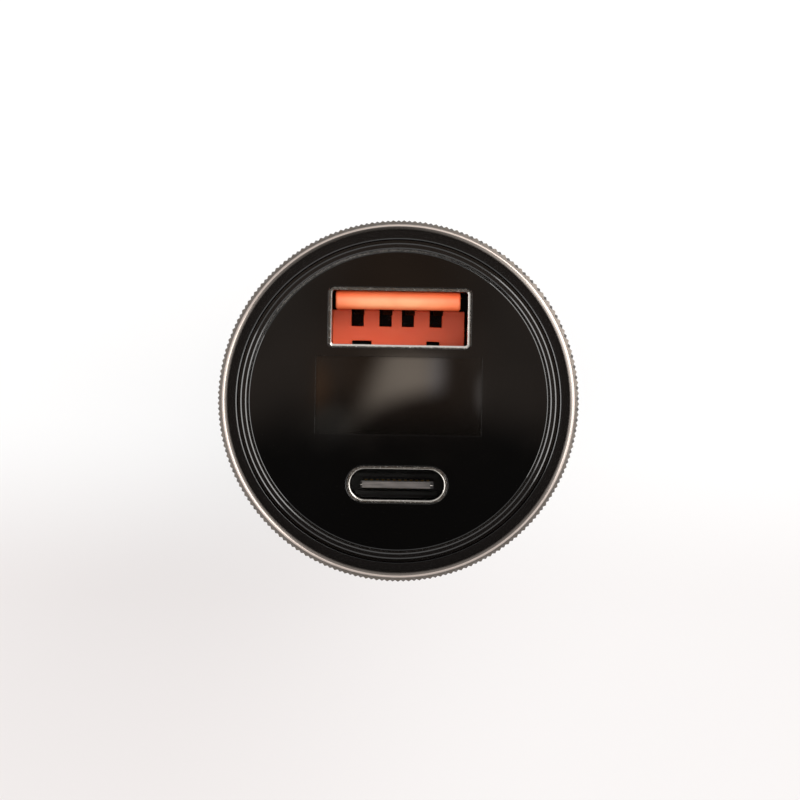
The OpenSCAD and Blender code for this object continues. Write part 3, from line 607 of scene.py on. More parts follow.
def make_sleeve():
    """Metal sleeve, which swells from the shoulder to the ring on a quarter of a sine wave."""
    foot, steps = 0.4, 20
    heights = [foot + (SWELL_H - foot) * n / steps for n in range(steps + 1)]
    outside = [(SHOULDER_R + (SHELL_R - SHOULDER_R) * math.sin(math.pi / 2 * z / SWELL_H), z) for z in heights]
    inside = [(r - SLEEVE_WALL, z) for r, z in reversed(outside) if z > FLANGE_LOW + 0.3]
    hole_r = NECK_R + FIT_GAP
    outline = [(hole_r, 0), (outside[0][0] - foot, 0), *outside, (SHELL_R, RING_Z), (SPIGOT_R, RING_Z),
               (SPIGOT_R, BEZEL_Z), (BEZEL_R, BEZEL_Z), (BEZEL_R, COVER_SEAT), (SHELL_R - SLEEVE_WALL, COVER_SEAT),
               *inside, (inside[-1][0], FLANGE_LOW), (hole_r, FLANGE_LOW)]
    return soften(turned("metal_sleeve", outline), 0.12, 3)


def make_barrel():
    step = COLLAR_R - BARREL_R
    tube = turned("plug_body", [
        (BARREL_IN, -BARREL_H), (BARREL_R, -BARREL_H), (BARREL_R, -COLLAR_H - step), (COLLAR_R, -COLLAR_H),
        (COLLAR_R, 0), (NECK_R, 0), (NECK_R, FLANGE_LOW), (FLANGE_R, FLANGE_LOW), (FLANGE_R, BOARD_SEAT_Z),
        (BOARD_SEAT_R, BOARD_SEAT_Z), (BOARD_SEAT_R, FLANGE_TOP), (BARREL_IN, FLANGE_TOP)])
    eye = EYE_R + EYE_CLEAR
    for side in (-1, 1):
        low, high = sorted((side * (BARREL_IN - 1.1), side * (BARREL_IN + 0.6)))
        boss = box_piece("boss", (low, -3.4, EYE_Z - 1.2), (high, 3.4, EYE_Z + 1.2))
        combine(tube, boss, "UNION")
        low, high = sorted((side * (BARREL_IN - 1.5), side * (BARREL_IN + 2.5)))
        slot = box_piece("slot", (low, -2.6, EYE_Z + 0.4), (high, 2.6, SLOT_TOP))
        combine(tube, slot, "DIFFERENCE")
        clear_selection()
        bpy.ops.mesh.primitive_cylinder_add(vertices=48, radius=eye * MM, depth=(STRIP_W + 2 * EYE_CLEAR) * MM,
                                            location=(side * EYE_X * MM, 0, EYE_Z * MM),
                                            rotation=(math.pi / 2, 0, 0))
        combine(tube, put_down(bpy.context.object), "DIFFERENCE")
        low, high = sorted((side * (BARREL_IN - 1.5), side * EYE_X))
        window = box_piece("tab_window", (low, -1.6, EYE_Z - eye), (high, 1.6, EYE_Z + eye))
        combine(tube, window, "DIFFERENCE")
    return soften(merge_flats(tube), 0.1, 2)


def make_nose():
    nose = turned("nose_cone", [
        (NOSE_BORE_R, NOSE_Z), (NOSE_TIP_R - 0.5, NOSE_Z), (NOSE_TIP_R - 0.15, NOSE_Z + 0.15),
        (NOSE_TIP_R, NOSE_Z + 0.5), (BARREL_R, NOSE_EDGE_Z), (BARREL_R, -BARREL_H), (PLUG_R, -BARREL_H),
        (PLUG_R, PLUG_TOP), (7.8, PLUG_TOP), (7.5, -BARREL_H), (WELL_R, WELL_TOP), (WELL_R, NOSE_FLOOR_Z),
        (NOSE_BORE_R, NOSE_FLOOR_Z)])
    return soften(nose, 0.15, 3)


def make_centre_contact():
    turns = [math.radians(7.5 * n) for n in range(13)]
    dome = [(PIN_R * math.sin(a), PIN_TIP + PIN_DOME_H * (1 - math.cos(a))) for a in turns]
    pin = turned("plus_pin", [
        *dome, (PIN_R, PIN_FLANGE_LOW), (PIN_FLANGE_R, PIN_FLANGE_LOW), (PIN_FLANGE_R, PIN_FLANGE_TOP),
        (PIN_GUIDE_R, PIN_FLANGE_TOP), (PIN_GUIDE_R, PIN_GUIDE_TOP), (0, PIN_GUIDE_TOP)], steps=96)
    return soften(pin, 0.08, 2)


def make_side_contact(side):
    """Sprung strip: rolled at its foot, bowed out to its crest, its free end tucked behind the wall."""
    middle = EYE_R - STRIP_T / 2
    path = [(EYE_X + middle * math.cos(math.radians(a)), EYE_Z + middle * math.sin(math.radians(a)))
            for a in range(80, 361, 20)]
    crest = (CREST_X - STRIP_T / 2, CREST_Z)
    rise = [bezier((EYE_X + middle, EYE_Z), (EYE_X + 0.3, EYE_Z + 4), (crest[0], CREST_Z - 4.5), crest, n / 20)
            for n in range(1, 21)]
    fall = [bezier(crest, (crest[0], CREST_Z + 2.8), (TUCK_X, SLOT_TOP - 3.7), (TUCK_X, SLOT_TOP - 0.6), n / 20)
            for n in range(1, 21)]
    path += [tuple(p) for p in rise + fall] + [(TUCK_X, STRIP_END)]
    strip = draw("side_strip_" + ("right" if side > 0 else "left"),
                 [(side * x, -STRIP_W / 2, z) for x, z in path], closed=False)
    push((0, STRIP_W, 0))
    close_up()
    use_modifier(strip, "SOLIDIFY", thickness=STRIP_T * MM, offset=0, use_even_offset=True)
    return soften(strip, 0.08, 2, angle=35)


def make_contact_spring():
    """Coil spring whose first and last turns lie flat on their seats."""
    low, high = (corner.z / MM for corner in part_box("contact_spring"))
    low, high = low + WIRE_D / 2, high - WIRE_D / 2
    flat, per_turn = 0.75, 24
    path = []
    for n in range(COIL_TURNS * per_turn + 1):
        turn = n / per_turn
        lift = 0.4 * WIRE_D * (min(turn, flat) + max(turn - COIL_TURNS + flat, 0))
        climb = min(max((turn - flat) / (COIL_TURNS - 2 * flat), 0), 1)
        angle = 2 * math.pi * turn
        path.append((COIL_R * math.cos(angle), COIL_R * math.sin(angle),
                     low + lift + (high - low - 0.8 * WIRE_D * flat) * climb))
    coil = draw("contact_coil", path, closed=False)
    leave()
    bpy.ops.object.convert(target="CURVE")
    coil = bpy.context.object
    coil.data.bevel_depth = WIRE_D / 2 * MM
    coil.data.bevel_resolution = 3
    coil.data.use_fill_caps = True
    bpy.ops.object.convert(target="MESH")
    return soften(bpy.context.object, 0, angle=40)


# Materials

def linear(hex_colour):
    """An sRGB hex value as linear red, green, blue and alpha."""
    parts = [int(hex_colour[n:n + 2], 16) / 255 for n in (1, 3, 5)]
    return [c / 12.92 if c <= 0.04045 else ((c + 0.055) / 1.055) ** 2.4 for c in parts] + [1]


def plug_in(tree, node, inputs):
    """Sets a node's inputs to values, or links them to sockets or to the first output of other nodes."""
    for key, value in inputs.items():
        if isinstance(value, bpy.types.Node):
            value = next(socket for socket in value.outputs if socket.enabled)
        if isinstance(value, bpy.types.NodeSocket):
            tree.links.new(value, node.inputs[key])
        else:
            node.inputs[key].default_value = value


def add_node(tree, kind, inputs=None, **settings):
    """Adds a node with its settings and links."""
    node = tree.nodes.new(kind)
    for key, value in settings.items():
        setattr(node, key, value)
    plug_in(tree, node, inputs or {})
    return node


def start_material(name, colour, roughness, metallic=0.0, ior=None):
    material = bpy.data.materials.new(name)
    material.use_nodes = True
    tree = material.node_tree
    shader = tree.nodes["Principled BSDF"]
    plug_in(tree, shader, {"Base Color": linear(colour), "Roughness": roughness, "Metallic": metallic})
    if ior:
        plug_in(tree, shader, {"IOR": ior})
    return material, tree, shader


def measure(tree):
    """A point's place on its piece, and the X, Y and Z of that place."""
    place = add_node(tree, "ShaderNodeTexCoord").outputs["Object"]
    return place, *add_node(tree, "ShaderNodeSeparateXYZ", {"Vector": place}).outputs


def from_axis(tree, x, y):
    """A point's distance from the axis."""
    flat = add_node(tree, "ShaderNodeCombineXYZ", {"X": x, "Y": y})
    return add_node(tree, "ShaderNodeVectorMath", {0: flat}, operation="LENGTH")


def blotches(tree, size, detail=2.0):
    """Noise whose blotches are a size in millimetres, fixed to the piece."""
    place = add_node(tree, "ShaderNodeTexCoord").outputs["Object"]
    return add_node(tree, "ShaderNodeTexNoise", {"Vector": place, "Scale": 1 / (size * MM), "Detail": detail})


def turning_lines(tree, pitch):
    """Fine circles round the axis and along it, as a lathe leaves them, at a pitch in millimetres."""
    _, x, y, z = measure(tree)
    section = add_node(tree, "ShaderNodeCombineXYZ", {"X": from_axis(tree, x, y), "Y": z})
    return add_node(tree, "ShaderNodeTexNoise", {"Vector": section, "Scale": 1 / (pitch * MM), "Detail": 3.0})


# Most values of a noise lie between these
MIDDLE = (0.3, 0.7)


def mask(tree, *steps, soft=True):
    """Steps that are multiplied. Each is a value, where its step starts and ends and what it gives there, or a mask."""
    total = None
    for step in steps:
        if isinstance(step, tuple):
            value, start, end, low, high = step
            step = add_node(tree, "ShaderNodeMapRange", {
                "Value": value, "From Min": start, "From Max": end, "To Min": low, "To Max": high},
                interpolation_type="SMOOTHSTEP" if soft else "LINEAR")
        if total is not None:
            step = add_node(tree, "ShaderNodeMath", {0: total, 1: step}, operation="MULTIPLY")
        total = step
    return total


def finish(tree, shader, grain, sheen, depth=0.0, cloud=None, shades=()):
    """A grain moves the roughness between two values and stands out by a depth in millimetres, and a slower
    cloud moves the colour between two shades."""
    plug_in(tree, shader, {"Roughness": mask(tree, (grain, *MIDDLE, *sheen), soft=False)})
    if depth:
        plug_in(tree, shader, {"Normal": add_node(tree, "ShaderNodeBump", {
            "Height": grain, "Distance": depth * MM, "Strength": 1.0})})
    if shades:
        dark, light = (linear(colour) for colour in shades)
        plug_in(tree, shader, {"Base Color": add_node(tree, "ShaderNodeMix", {
            "Factor": cloud, "A": dark, "B": light}, data_type="RGBA")})


def anodised_aluminium():
    """Bead-blasted, anodised aluminium: a satin grey-brown, with a grain of 0.12 mm."""
    material, tree, shader = start_material("anodised_aluminium", "#837C76", 0.32, 1.0)
    finish(tree, shader, blotches(tree, 0.12), (0.26, 0.38), 0.006, blotches(tree, 6), ("#7B746E", "#8A837D"))
    return material


def knurled_aluminium():
    """Anodised aluminium, knurled before anodising: the flanks carry fine tool marks. Its two shades are set darker
    than the sleeve's, as painted shade for the darker room its flanks mirror.
    """
    material, tree, shader = start_material("knurled_aluminium", "#615B56", 0.3, 1.0)
    finish(tree, shader, turning_lines(tree, 0.08), (0.25, 0.38), 0.004, blotches(tree, 3), ("#58524D", "#69635E"))
    return material


def cut_aluminium(name, colour, roughness):
    """Aluminium turned on a lathe: its fine lines are about 0.06 mm apart."""
    material, tree, shader = start_material(name, colour, roughness, 1.0)
    finish(tree, shader, turning_lines(tree, 0.06), (roughness - 0.06, roughness + 0.08), 0.002)
    return material


def satin_abs():
    """Black ABS from a lightly sparked mould: a soft sheen over a grain of 0.1 mm."""
    material, tree, shader = start_material("satin_abs", "#090808", 0.16, 0.0, 1.52)
    finish(tree, shader, blotches(tree, 0.1), (0.12, 0.2), 0.001)
    return material


def polished_polycarbonate():
    """Black polycarbonate from a polished mould: glossy, with a faint orange-peel of 1.5 mm."""
    black, gloss, dulled = "#0A0909", 0.12, 0.8
    material, tree, shader = start_material("polished_polycarbonate", black, gloss, 0.0, 1.58)
    peel = add_node(tree, "ShaderNodeBump", {"Height": blotches(tree, 1.5), "Distance": 0.001 * MM, "Strength": 1.0})
    # Pale grey, duller specks in the groove round the plate, most of them on its upper side
    place, x, y, z = measure(tree)
    aside = add_node(tree, "ShaderNodeVectorMath", {0: place, 1: (-0.35, 0.94, 0)}, operation="DOT_PRODUCT")
    pale_specks = mask(tree, (z, 21.1 * MM, 20.5 * MM, 0.0, 1.0), (aside, 6 * MM, 11.5 * MM, 0.05, 1.0),
                (from_axis(tree, x, y), 13.6 * MM, 13.5 * MM, 0.0, 1.0),
                (blotches(tree, 0.25, 3.0), *MIDDLE, 0.15, 1.0), soft=False)
    shade = add_node(tree, "ShaderNodeMix", {
        "Factor": pale_specks, "A": linear(black), "B": linear("#A8A29C")}, data_type="RGBA")
    plug_in(tree, shader, {"Base Color": shade, "Normal": peel,
                           "Roughness": mask(tree, (pale_specks, 0.0, 0.5, gloss, dulled), soft=False)})
    return material


def black_acrylic():
    """Back-printed acrylic sheet: mirror-flat and deep black, with faint wiping haze."""
    material, tree, shader = start_material("black_acrylic", "#050505", 0.03, 0.0, 1.49)
    finish(tree, shader, blotches(tree, 4, 4.0), (0.02, 0.045))
    return material


def smoked_acrylic():
    """Smoked acrylic lens: lets through about a tenth of the light, in a brownish grey."""
    material, tree, shader = start_material("smoked_acrylic", "#1C1A18", 0.015, 0.0, 1.49)
    plug_in(tree, shader, {"Transmission Weight": 0.9})
    return material


def orange_nylon():
    """Orange nylon, with a grain of 0.15 mm. The tongue's rounded tip is painted paler: a painted highlight."""
    material, tree, shader = start_material("orange_nylon", "#FF6436", 0.36, 0.0, 1.45)
    _, x, y, z = measure(tree)
    # The painted highlight is strongest near the middle, a little left of it and below the tongue's middle line
    away = [add_node(tree, "ShaderNodeMath", {0: way, 1: middle * MM}, operation="SUBTRACT")
            for way, middle in ((x, -0.7), (y, 8.62))]
    aside, off_line = (add_node(tree, "ShaderNodeMath", {0: way}, operation="ABSOLUTE") for way in away)
    tip = mask(tree, (z, 19.5 * MM, 20.5 * MM, 0.0, 0.95), (blotches(tree, 1.5), *MIDDLE, 0.85, 1.1), soft=False)
    painted_highlight = mask(tree, tip, (aside, 1 * MM, 6 * MM, 1.0, 0.4), (off_line, 0.1 * MM, 0.8 * MM, 1.15, 0.45))
    clouds = add_node(tree, "ShaderNodeMix", {
        "Factor": blotches(tree, 2), "A": linear("#F65527"), "B": linear("#F86332")}, data_type="RGBA")
    shade = add_node(tree, "ShaderNodeMix", {
        "Factor": painted_highlight, "A": clouds, "B": linear("#E29A6E")}, data_type="RGBA")
    plug_in(tree, shader, {"Base Color": shade})
    finish(tree, shader, blotches(tree, 0.15), (0.32, 0.42), 0.003)
    return material


def plain_plastic(name, dark, light, roughness, grain_size=0.15):
    """Moulded plastic: two near shades, a fine grain and an uneven sheen."""
    material, tree, shader = start_material(name, light, roughness, 0.0, 1.5)
    finish(tree, shader, blotches(tree, grain_size), (roughness - 0.05, roughness + 0.06), 0.003,
           blotches(tree, 2), (dark, light))
    return material


def rubbed_nylon():
    """Black nylon rubbed grey by plugs, in streaks of 2 mm by 0.15 mm along the tongue."""
    material, tree, shader = start_material("rubbed_nylon", "#4A4745", 0.4)
    place = add_node(tree, "ShaderNodeTexCoord").outputs["Object"]
    along = add_node(tree, "ShaderNodeMapping", {"Vector": place, "Scale": (1, 13, 13)})
    streaks = add_node(tree, "ShaderNodeTexNoise", {"Vector": along, "Scale": 1 / (2 * MM), "Detail": 3.0})
    finish(tree, shader, streaks, (0.3, 0.45), 0.0,
           mask(tree, (streaks, *MIDDLE, 0.0, 1.0), soft=False), ("#33302F", "#55504D"))
    return material


def plain_metal(name, dark, light, roughness):
    """Plated sheet or wire: two near shades, and a sheen that varies with rolling marks of 0.2 mm."""
    material, tree, shader = start_material(name, light, roughness, 1.0)
    finish(tree, shader, blotches(tree, 0.2, 3.0), (roughness - 0.06, roughness + 0.1), 0.001,
           blotches(tree, 2), (dark, light))
    return material


MATERIALS = {
    "sleeve_metal": anodised_aluminium(),
    "grip_metal": knurled_aluminium(),
    "bezel_plastic": satin_abs(),
    "cover_plastic": polished_polycarbonate(),
    "plate_acrylic": black_acrylic(),
    "window_acrylic": smoked_acrylic(),
    "display_plastic": plain_plastic("display_black", "#070707", "#0B0B0B", 0.5),
    "segment_resin": plain_plastic("segment_resin", "#4C4C48", "#5A5A55", 0.35),
    "tin": plain_metal("bright_tin", "#B9B8B4", "#CFCECA", 0.24),
    "port_steel": plain_metal("nickel_plated_steel", "#A9A5A0", "#BBB7B1", 0.2),
    "orange_plastic": orange_nylon(),
    "tongue_plastic": plain_plastic("black_nylon", "#100F0F", "#171615", 0.42),
    # The contacts' gilt is darkened to a dull bronze, painted shade for the slots they sit in
    "gilt": plain_metal("shaded_gilt_bronze", "#463619", "#54421F", 0.3),
    # The board is a black solder mask, made near black so that it reads dark through the slots over it: partly the
    # board's colour, partly painted shade for the depth there
    "board_laminate": plain_plastic("black_solder_mask", "#0B0D0C", "#131615", 0.3, 0.4),
    "ferrite": plain_plastic("pressed_ferrite", "#3A3B3F", "#45464A", 0.6, 0.1),
    "can_metal": plain_metal("capacitor_can", "#9B9EA6", "#B2B5BC", 0.32),
    "chip_resin": plain_plastic("chip_epoxy", "#18181A", "#1E1E20", 0.55),
    "fuse_ceramic": plain_plastic("fuse_ceramic", "#CFCBC0", "#DBD8CE", 0.5),
    "capacitor_ceramic": plain_plastic("barium_titanate", "#8F7350", "#A08560", 0.45),
    "barrel_plastic": plain_plastic("black_nylon_66", "#131312", "#1B1A19", 0.36, 0.2),
    "nose_plastic": plain_plastic("nose_bakelite", "#151312", "#1D1A18", 0.3, 0.2),
    "nickel": plain_metal("bright_nickel", "#C8C2B8", "#DAD4CA", 0.2),
    "spring_steel": plain_metal("spring_steel", "#A9A7A2", "#BEBCB6", 0.3),
}
CUT_EDGE = cut_aluminium("cut_aluminium", "#B4A8A1", 0.36)
TURNED_EDGE = cut_aluminium("turned_aluminium", "#948C86", 0.2)


def fit(piece, slot, body, *nodes):
    """Gives a piece its finish and its body, and lets it stand for its CAD nodes."""
    piece.data.materials.clear()
    piece.data.materials.append(MATERIALS[slot])
    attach(piece, body)
    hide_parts(*nodes)


grip = make_grip_ring()
fit(grip, "grip_metal", "charger", "trim_ring")
grip.data.materials.append(CUT_EDGE)
grip.data.materials.append(TURNED_EDGE)
for face in grip.data.polygons:
    radius, height = face.center.to_2d().length / MM, face.center.z / MM
    # The ridge was cut bright after anodising, and the chamfer inside it was turned before
    if height > 21.93 and radius > 15.46:
        face.material_index = 1
    elif height > 21.6 and radius < 15.5:
        face.material_index = 2
fit(make_bezel(), "bezel_plastic", "charger", "bezel_ring")
fit(make_cover(), "cover_plastic", "charger", "front_cover")
fit(make_plate(), "plate_acrylic", "charger", "face_plate")
fit(make_window(), "window_acrylic", "charger", "display_window")
fit(make_usb_a_shell(), "port_steel", "charger", "usb_a_shell")
fit(make_usb_a_insulator(), "orange_plastic", "charger", "usb_a_insulator")
fit(make_usb_c_shell(), "port_steel", "charger", "usb_c_shell")
insert = make_usb_c_insulator()
fit(insert, "tongue_plastic", "charger", "usb_c_insulator")
insert.data.materials.append(rubbed_nylon())
for face in insert.data.polygons:
    # The tip is rubbed lighter by plugs
    if face.center.z / MM > USB_C_TIP - 0.1:
        face.material_index = 1
fit(make_usb_c_midplate(), "port_steel", "charger", "usb_c_midplate")
fit(make_sleeve(), "sleeve_metal", "charger", "head_shell")
fit(make_barrel(), "barrel_plastic", "charger", "plug_barrel")
fit(make_nose(), "nose_plastic", "charger", "nose_cap")
fit(make_centre_contact(), "nickel", "centre_contact", "centre_contact")
spring = make_contact_spring()
fit(spring, "spring_steel", "centre_contact", "contact_spring")
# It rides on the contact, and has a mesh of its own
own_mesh(spring)
fit(make_side_contact(-1), "nickel", "side_contact_left", "ground_contact_left")
fit(make_side_contact(1), "nickel", "side_contact_right", "ground_contact_right")

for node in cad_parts.values():
    slots = [m.name.split(".")[0] for m in node.data.materials if m]
    for n, slot in enumerate(slots):
        if slot in MATERIALS:
            node.data.materials[n] = MATERIALS[slot]


# Stage

# In millimetres above the plate: the camera, and the glowing cards that the plate mirrors
CAMERA_RISE, CARD_RISE = 700, 1000
# The camera stands this far off the axis, in millimetres, as the photograph's middle does
CAMERA_PLACE = (0.14, 0.088)
# A point of the plate is mirrored at this many times its distance from the axis
CARD_GROWTH = 1 + CARD_RISE / CAMERA_RISE


def glow(name):
    material = bpy.data.materials.new(name)
    material.use_nodes = True
    tree = material.node_tree
    tree.nodes.clear()
    shader = add_node(tree, "ShaderNodeEmission")
    return material, tree, shader, add_node(tree, "ShaderNodeOutputMaterial", {"Surface": shader})


def seen_rays(tree):
    """1 for camera, glossy and transmission rays, which are to see the stage as it is painted."""
    rays = add_node(tree, "ShaderNodeLightPath").outputs
    some = add_node(tree, "ShaderNodeMath", {0: rays["Is Camera Ray"], 1: rays["Is Glossy Ray"]}, operation="MAXIMUM")
    return add_node(tree, "ShaderNodeMath", {0: some, 1: rays["Is Transmission Ray"]}, operation="MAXIMUM")


def make_floor():
    """Pale table top: mostly white to the camera, with a share of real shading that keeps the shadow."""
    clear_selection()
    bpy.ops.mesh.primitive_plane_add(size=8, location=(0, 0, cad_low.z - 0.02 * MM))
    floor = put_down(bpy.context.object)
    floor.name = "table_top"
    material, tree, white, output = glow("white_table")
    # The table is painted a shade darker in front of the plug, most of all to the left: a painted soft shadow of the
    # plug
    place, x, y, _ = measure(tree)
    distance = add_node(tree, "ShaderNodeVectorMath", {0: place}, operation="LENGTH")
    dark = mask(tree, (y, -1 * MM, -20 * MM, 0.0, 1.0), (x, 20 * MM, -25 * MM, 0.65, 1.0),
                (distance, 60 * MM, 200 * MM, 1.0, 0.0))
    shade = add_node(tree, "ShaderNodeMix", {
        "Factor": dark, "A": linear("#FFFFFF"), "B": linear("#E8E3E2")}, data_type="RGBA")
    plug_in(tree, white, {"Color": shade})
    # Near the plug a share of it is real paint, and far out none is
    paint = add_node(tree, "ShaderNodeBsdfDiffuse", {"Color": linear("#EFEDED")})
    share = mask(tree, seen_rays(tree), (distance, 100 * MM, 500 * MM, 0.78, 1.0), soft=False)
    plug_in(tree, output, {"Surface": add_node(tree, "ShaderNodeMixShader", {0: share, 1: paint, 2: white})})
    floor.data.materials.append(material)


def make_card(name, size, place, pattern):
    """A glowing card over the plate that only reflections see. The pattern gives its strength."""
    clear_selection()
    bpy.ops.mesh.primitive_plane_add(size=1, location=place)
    card = bpy.context.object
    card.name = name
    card.scale = (*size, 1)
    put_down(card)
    for ray in ("camera", "diffuse", "transmission", "shadow", "volume_scatter"):
        setattr(card, "visible_" + ray, False)
    card.data.materials.append(pattern)


def plate_millimetres(tree):
    """For a card: the place on the plate, in millimetres, where a point of the card is mirrored."""
    place = add_node(tree, "ShaderNodeTexCoord").outputs["Object"]
    shift = [side * (1 - 1 / CARD_GROWTH) for side in CAMERA_PLACE]
    scale = 1 / MM / CARD_GROWTH
    return add_node(tree, "ShaderNodeMapping", {
        "Vector": place, "Location": (*shift, 0), "Scale": (scale, scale, 0)})


def oval(tree, place, centre, size):
    """Distance from a centre, counted in the sizes of an oval."""
    local = add_node(tree, "ShaderNodeMapping", {
        "Vector": place, "Location": (*centre, 0), "Scale": (*size, 1)}, vector_type="TEXTURE")
    return add_node(tree, "ShaderNodeVectorMath", {0: local}, operation="LENGTH")


def ceiling_pattern():
    """Warm ceiling, greyer to the sides and in a small oval, that ends along a wide arc below which it is dark."""
    material, tree, shader, output = glow("warm_ceiling")
    place = plate_millimetres(tree)
    clouds = add_node(tree, "ShaderNodeTexNoise", {"Vector": place, "Scale": 0.16, "Detail": 1.0})
    arc = oval(tree, place, (0.2, -41.7), (41.6, 41.6))
    x = add_node(tree, "ShaderNodeSeparateXYZ", {"Vector": place}).outputs["X"]
    aside = add_node(tree, "ShaderNodeMath", {0: x}, operation="ABSOLUTE")
    shade = add_node(tree, "ShaderNodeMix", {
        "Factor": mask(tree, (aside, 2.0, 10.0, 0.0, 1.0)),
        "A": linear("#9B7C65"), "B": linear("#A69589")}, data_type="RGBA")
    strength = mask(tree, mask(tree, (clouds, *MIDDLE, 0.8, 1.2), soft=False), (arc, 0.925, 1.07, 0.05, 1.0))
    plug_in(tree, shader, {"Color": shade, "Strength": strength})
    grey = add_node(tree, "ShaderNodeEmission", {
        "Color": linear("#84827C"),
        "Strength": mask(tree, (oval(tree, place, (-5.9, -2.0), (2.5, 2.1)), 0.35, 1.1, 1.0, 0.0))})
    plug_in(tree, output, {"Surface": add_node(tree, "ShaderNodeAddShader", {0: shader, 1: grey})})
    return material


def lamp_pattern():
    """Soft patch of light that bends round a dark oval, with a faint strip to its right and a warm one to its left."""
    material, tree, shader, output = glow("lamp_patch")
    place = plate_millimetres(tree)
    x, y, _ = add_node(tree, "ShaderNodeSeparateXYZ", {"Vector": place}).outputs
    lean = add_node(tree, "ShaderNodeMath", {0: y, 1: -0.42, 2: x}, operation="MULTIPLY_ADD")
    patch = mask(tree, (oval(tree, place, (5.4, -7.3), (11.2, 7.7)), 0.92, 1.25, 0.0, 1.0),
                 (lean, -4.8, -1.5, 0.0, 1.0), (x, 5.1, 2.8, 0.0, 1.0),
                 (oval(tree, place, (0.9, 2.2), (7.2, 7.2)), 0.0, 1.0, 1.0, 0.3))
    strip = mask(tree, (oval(tree, place, (7.8, 0.8), (1.5, 3.0)), 0.1, 1.0, 0.42, 0.0))
    warm, cool = ([strength * part for part in linear(colour)]
                  for colour, strength in (("#FFEEDB", 3.1), ("#FFF8F6", 2.6)))
    shade = add_node(tree, "ShaderNodeMix", {
        "Factor": mask(tree, (x, 1.8, 3.6, 0.0, 1.0)), "A": warm, "B": cool}, data_type="RGBA")
    plug_in(tree, shader, {
        "Color": shade, "Strength": add_node(tree, "ShaderNodeMath", {0: patch, 1: strip}, operation="ADD")})
    ember = add_node(tree, "ShaderNodeEmission", {
        "Color": linear("#A66927"),
        "Strength": mask(tree, (oval(tree, place, (-7.5, 1.4), (2.4, 3.6)), 0.1, 1.0, 1.0, 0.0))})
    # The card itself is clear, so it adds to the ceiling behind it
    clear = add_node(tree, "ShaderNodeBsdfTransparent")
    light = add_node(tree, "ShaderNodeAddShader", {0: shader, 1: ember})
    plug_in(tree, output, {"Surface": add_node(tree, "ShaderNodeAddShader", {0: light, 1: clear})})
    return material


def make_cards():
    level = (PLATE_TOP + CARD_RISE) * MM
    make_card("ceiling_card", (0.12, 0.1), (0, 0, level), ceiling_pattern())
    # The lamp's card is as large as the window is in the mirror, and a little lower than the ceiling
    size = [side * CARD_GROWTH * MM for side in WINDOW_SIZE]
    x, y = ((window * CARD_GROWTH - camera * (CARD_GROWTH - 1)) * MM
            for window, camera in zip((0, WINDOW_Y), CAMERA_PLACE))
    make_card("lamp_card", size, (x, y, level - 1 * MM), lamp_pattern())


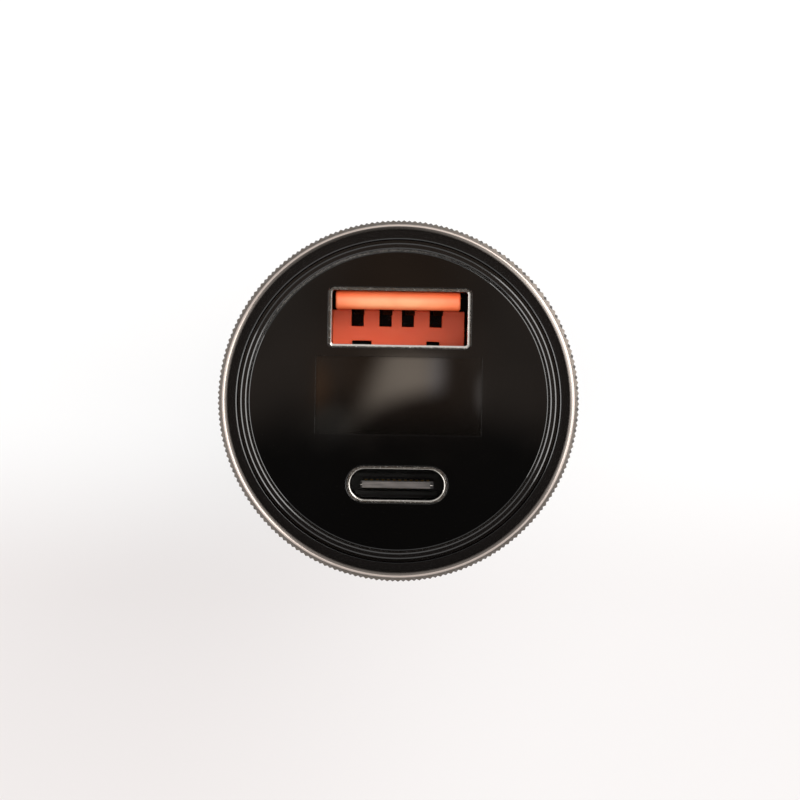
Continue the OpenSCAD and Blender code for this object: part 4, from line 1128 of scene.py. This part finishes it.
def make_world():
    """White to the camera, even grey to matt surfaces, and to shiny ones a room that is dark overhead."""
    world = bpy.data.worlds.new("studio")
    bpy.context.scene.world = world
    world.use_nodes = True
    tree = world.node_tree
    tree.nodes.clear()
    way = add_node(tree, "ShaderNodeTexCoord").outputs["Generated"]
    z = add_node(tree, "ShaderNodeSeparateXYZ", {"Vector": way}).outputs["Z"]
    # Low round the room it is bright to the left, less so to the right, and dim to the front and back
    low = 0.12
    for towards, power, strength in (((-0.93, -0.37, 0), 4.0, 2.2), ((1, 0, 0), 3.0, 0.85), ((0, 1, 0), 1.0, 0.4)):
        facing = add_node(tree, "ShaderNodeVectorMath", {0: way, 1: towards}, operation="DOT_PRODUCT")
        ahead = add_node(tree, "ShaderNodeMath", {0: facing, 1: 0.0}, operation="MAXIMUM")
        raised = add_node(tree, "ShaderNodeMath", {0: ahead, 1: power}, operation="POWER")
        low = add_node(tree, "ShaderNodeMath", {0: raised, 1: strength, 2: low}, operation="MULTIPLY_ADD")
    around = add_node(tree, "ShaderNodeMix", {
        "Factor": mask(tree, (z, 0.36, 0.58, 0.0, 1.0)), "A": low, "B": 1.4}, data_type="FLOAT")
    shiny, even, white = (
        add_node(tree, "ShaderNodeBackground", {"Color": linear(colour), "Strength": strength})
        for colour, strength in (("#FFFDFB", mask(tree, around, (z, 0.985, 0.8, 0.0, 1.0))),
                                 ("#FFFEFD", 0.3), ("#FFFFFF", 1.0)))
    rays = add_node(tree, "ShaderNodeLightPath").outputs
    lit = add_node(tree, "ShaderNodeMixShader", {0: rays["Is Glossy Ray"], 1: even, 2: shiny})
    mix = add_node(tree, "ShaderNodeMixShader", {0: rays["Is Camera Ray"], 1: lit, 2: white})
    add_node(tree, "ShaderNodeOutputWorld", {"Surface": mix})


def make_lamp(name, place, size, power, colour, glossy=True):
    light = bpy.data.lights.new(name, "AREA")
    light.shape = "RECTANGLE"
    light.size, light.size_y = size
    light.energy = power
    light.color = linear(colour)[:3]
    lamp = bpy.data.objects.new(name, light)
    bpy.context.scene.collection.objects.link(lamp)
    lamp.location = place
    lamp.rotation_euler = (-Vector(place)).to_track_quat("-Z", "Y").to_euler()
    lamp.visible_glossy = glossy
    lamp.visible_camera = False


def make_camera():
    """Straight down at the face, turned by a degree as the photograph is."""
    photo_width, photo_scale = 800, 11.3  # pixels, and pixels to the millimetre at the face
    lens = bpy.data.cameras.new("camera")
    lens.sensor_width = 36
    lens.lens = lens.sensor_width * CAMERA_RISE * photo_scale / photo_width
    lens.clip_start, lens.clip_end = 0.01, 20
    camera = bpy.data.objects.new("camera", lens)
    bpy.context.scene.collection.objects.link(camera)
    camera.location = Vector((*CAMERA_PLACE, PLATE_TOP + CAMERA_RISE)) * MM
    camera.rotation_euler = (0, 0, math.radians(1))
    bpy.context.scene.camera = camera


make_floor()
make_cards()
make_world()
make_lamp("overhead_softbox", (0.05, 0.05, 1.0), (0.5, 0.5), 4.2, "#FFFDFB", glossy=False)
make_lamp("right_softbox", (0.96, 0.2, 0.62), (1.6, 0.35), 9.5, "#FFFDFA")
make_lamp("left_softbox", (-1.0, -0.16, 0.63), (1.3, 0.35), 7, "#FFFDFC")
make_lamp("high_right_softbox", (0.44, 0.3, 1.0), (0.6, 0.4), 5.0, "#FFFDFA")
make_camera()
bpy.context.scene.view_settings.view_transform = "Standard"
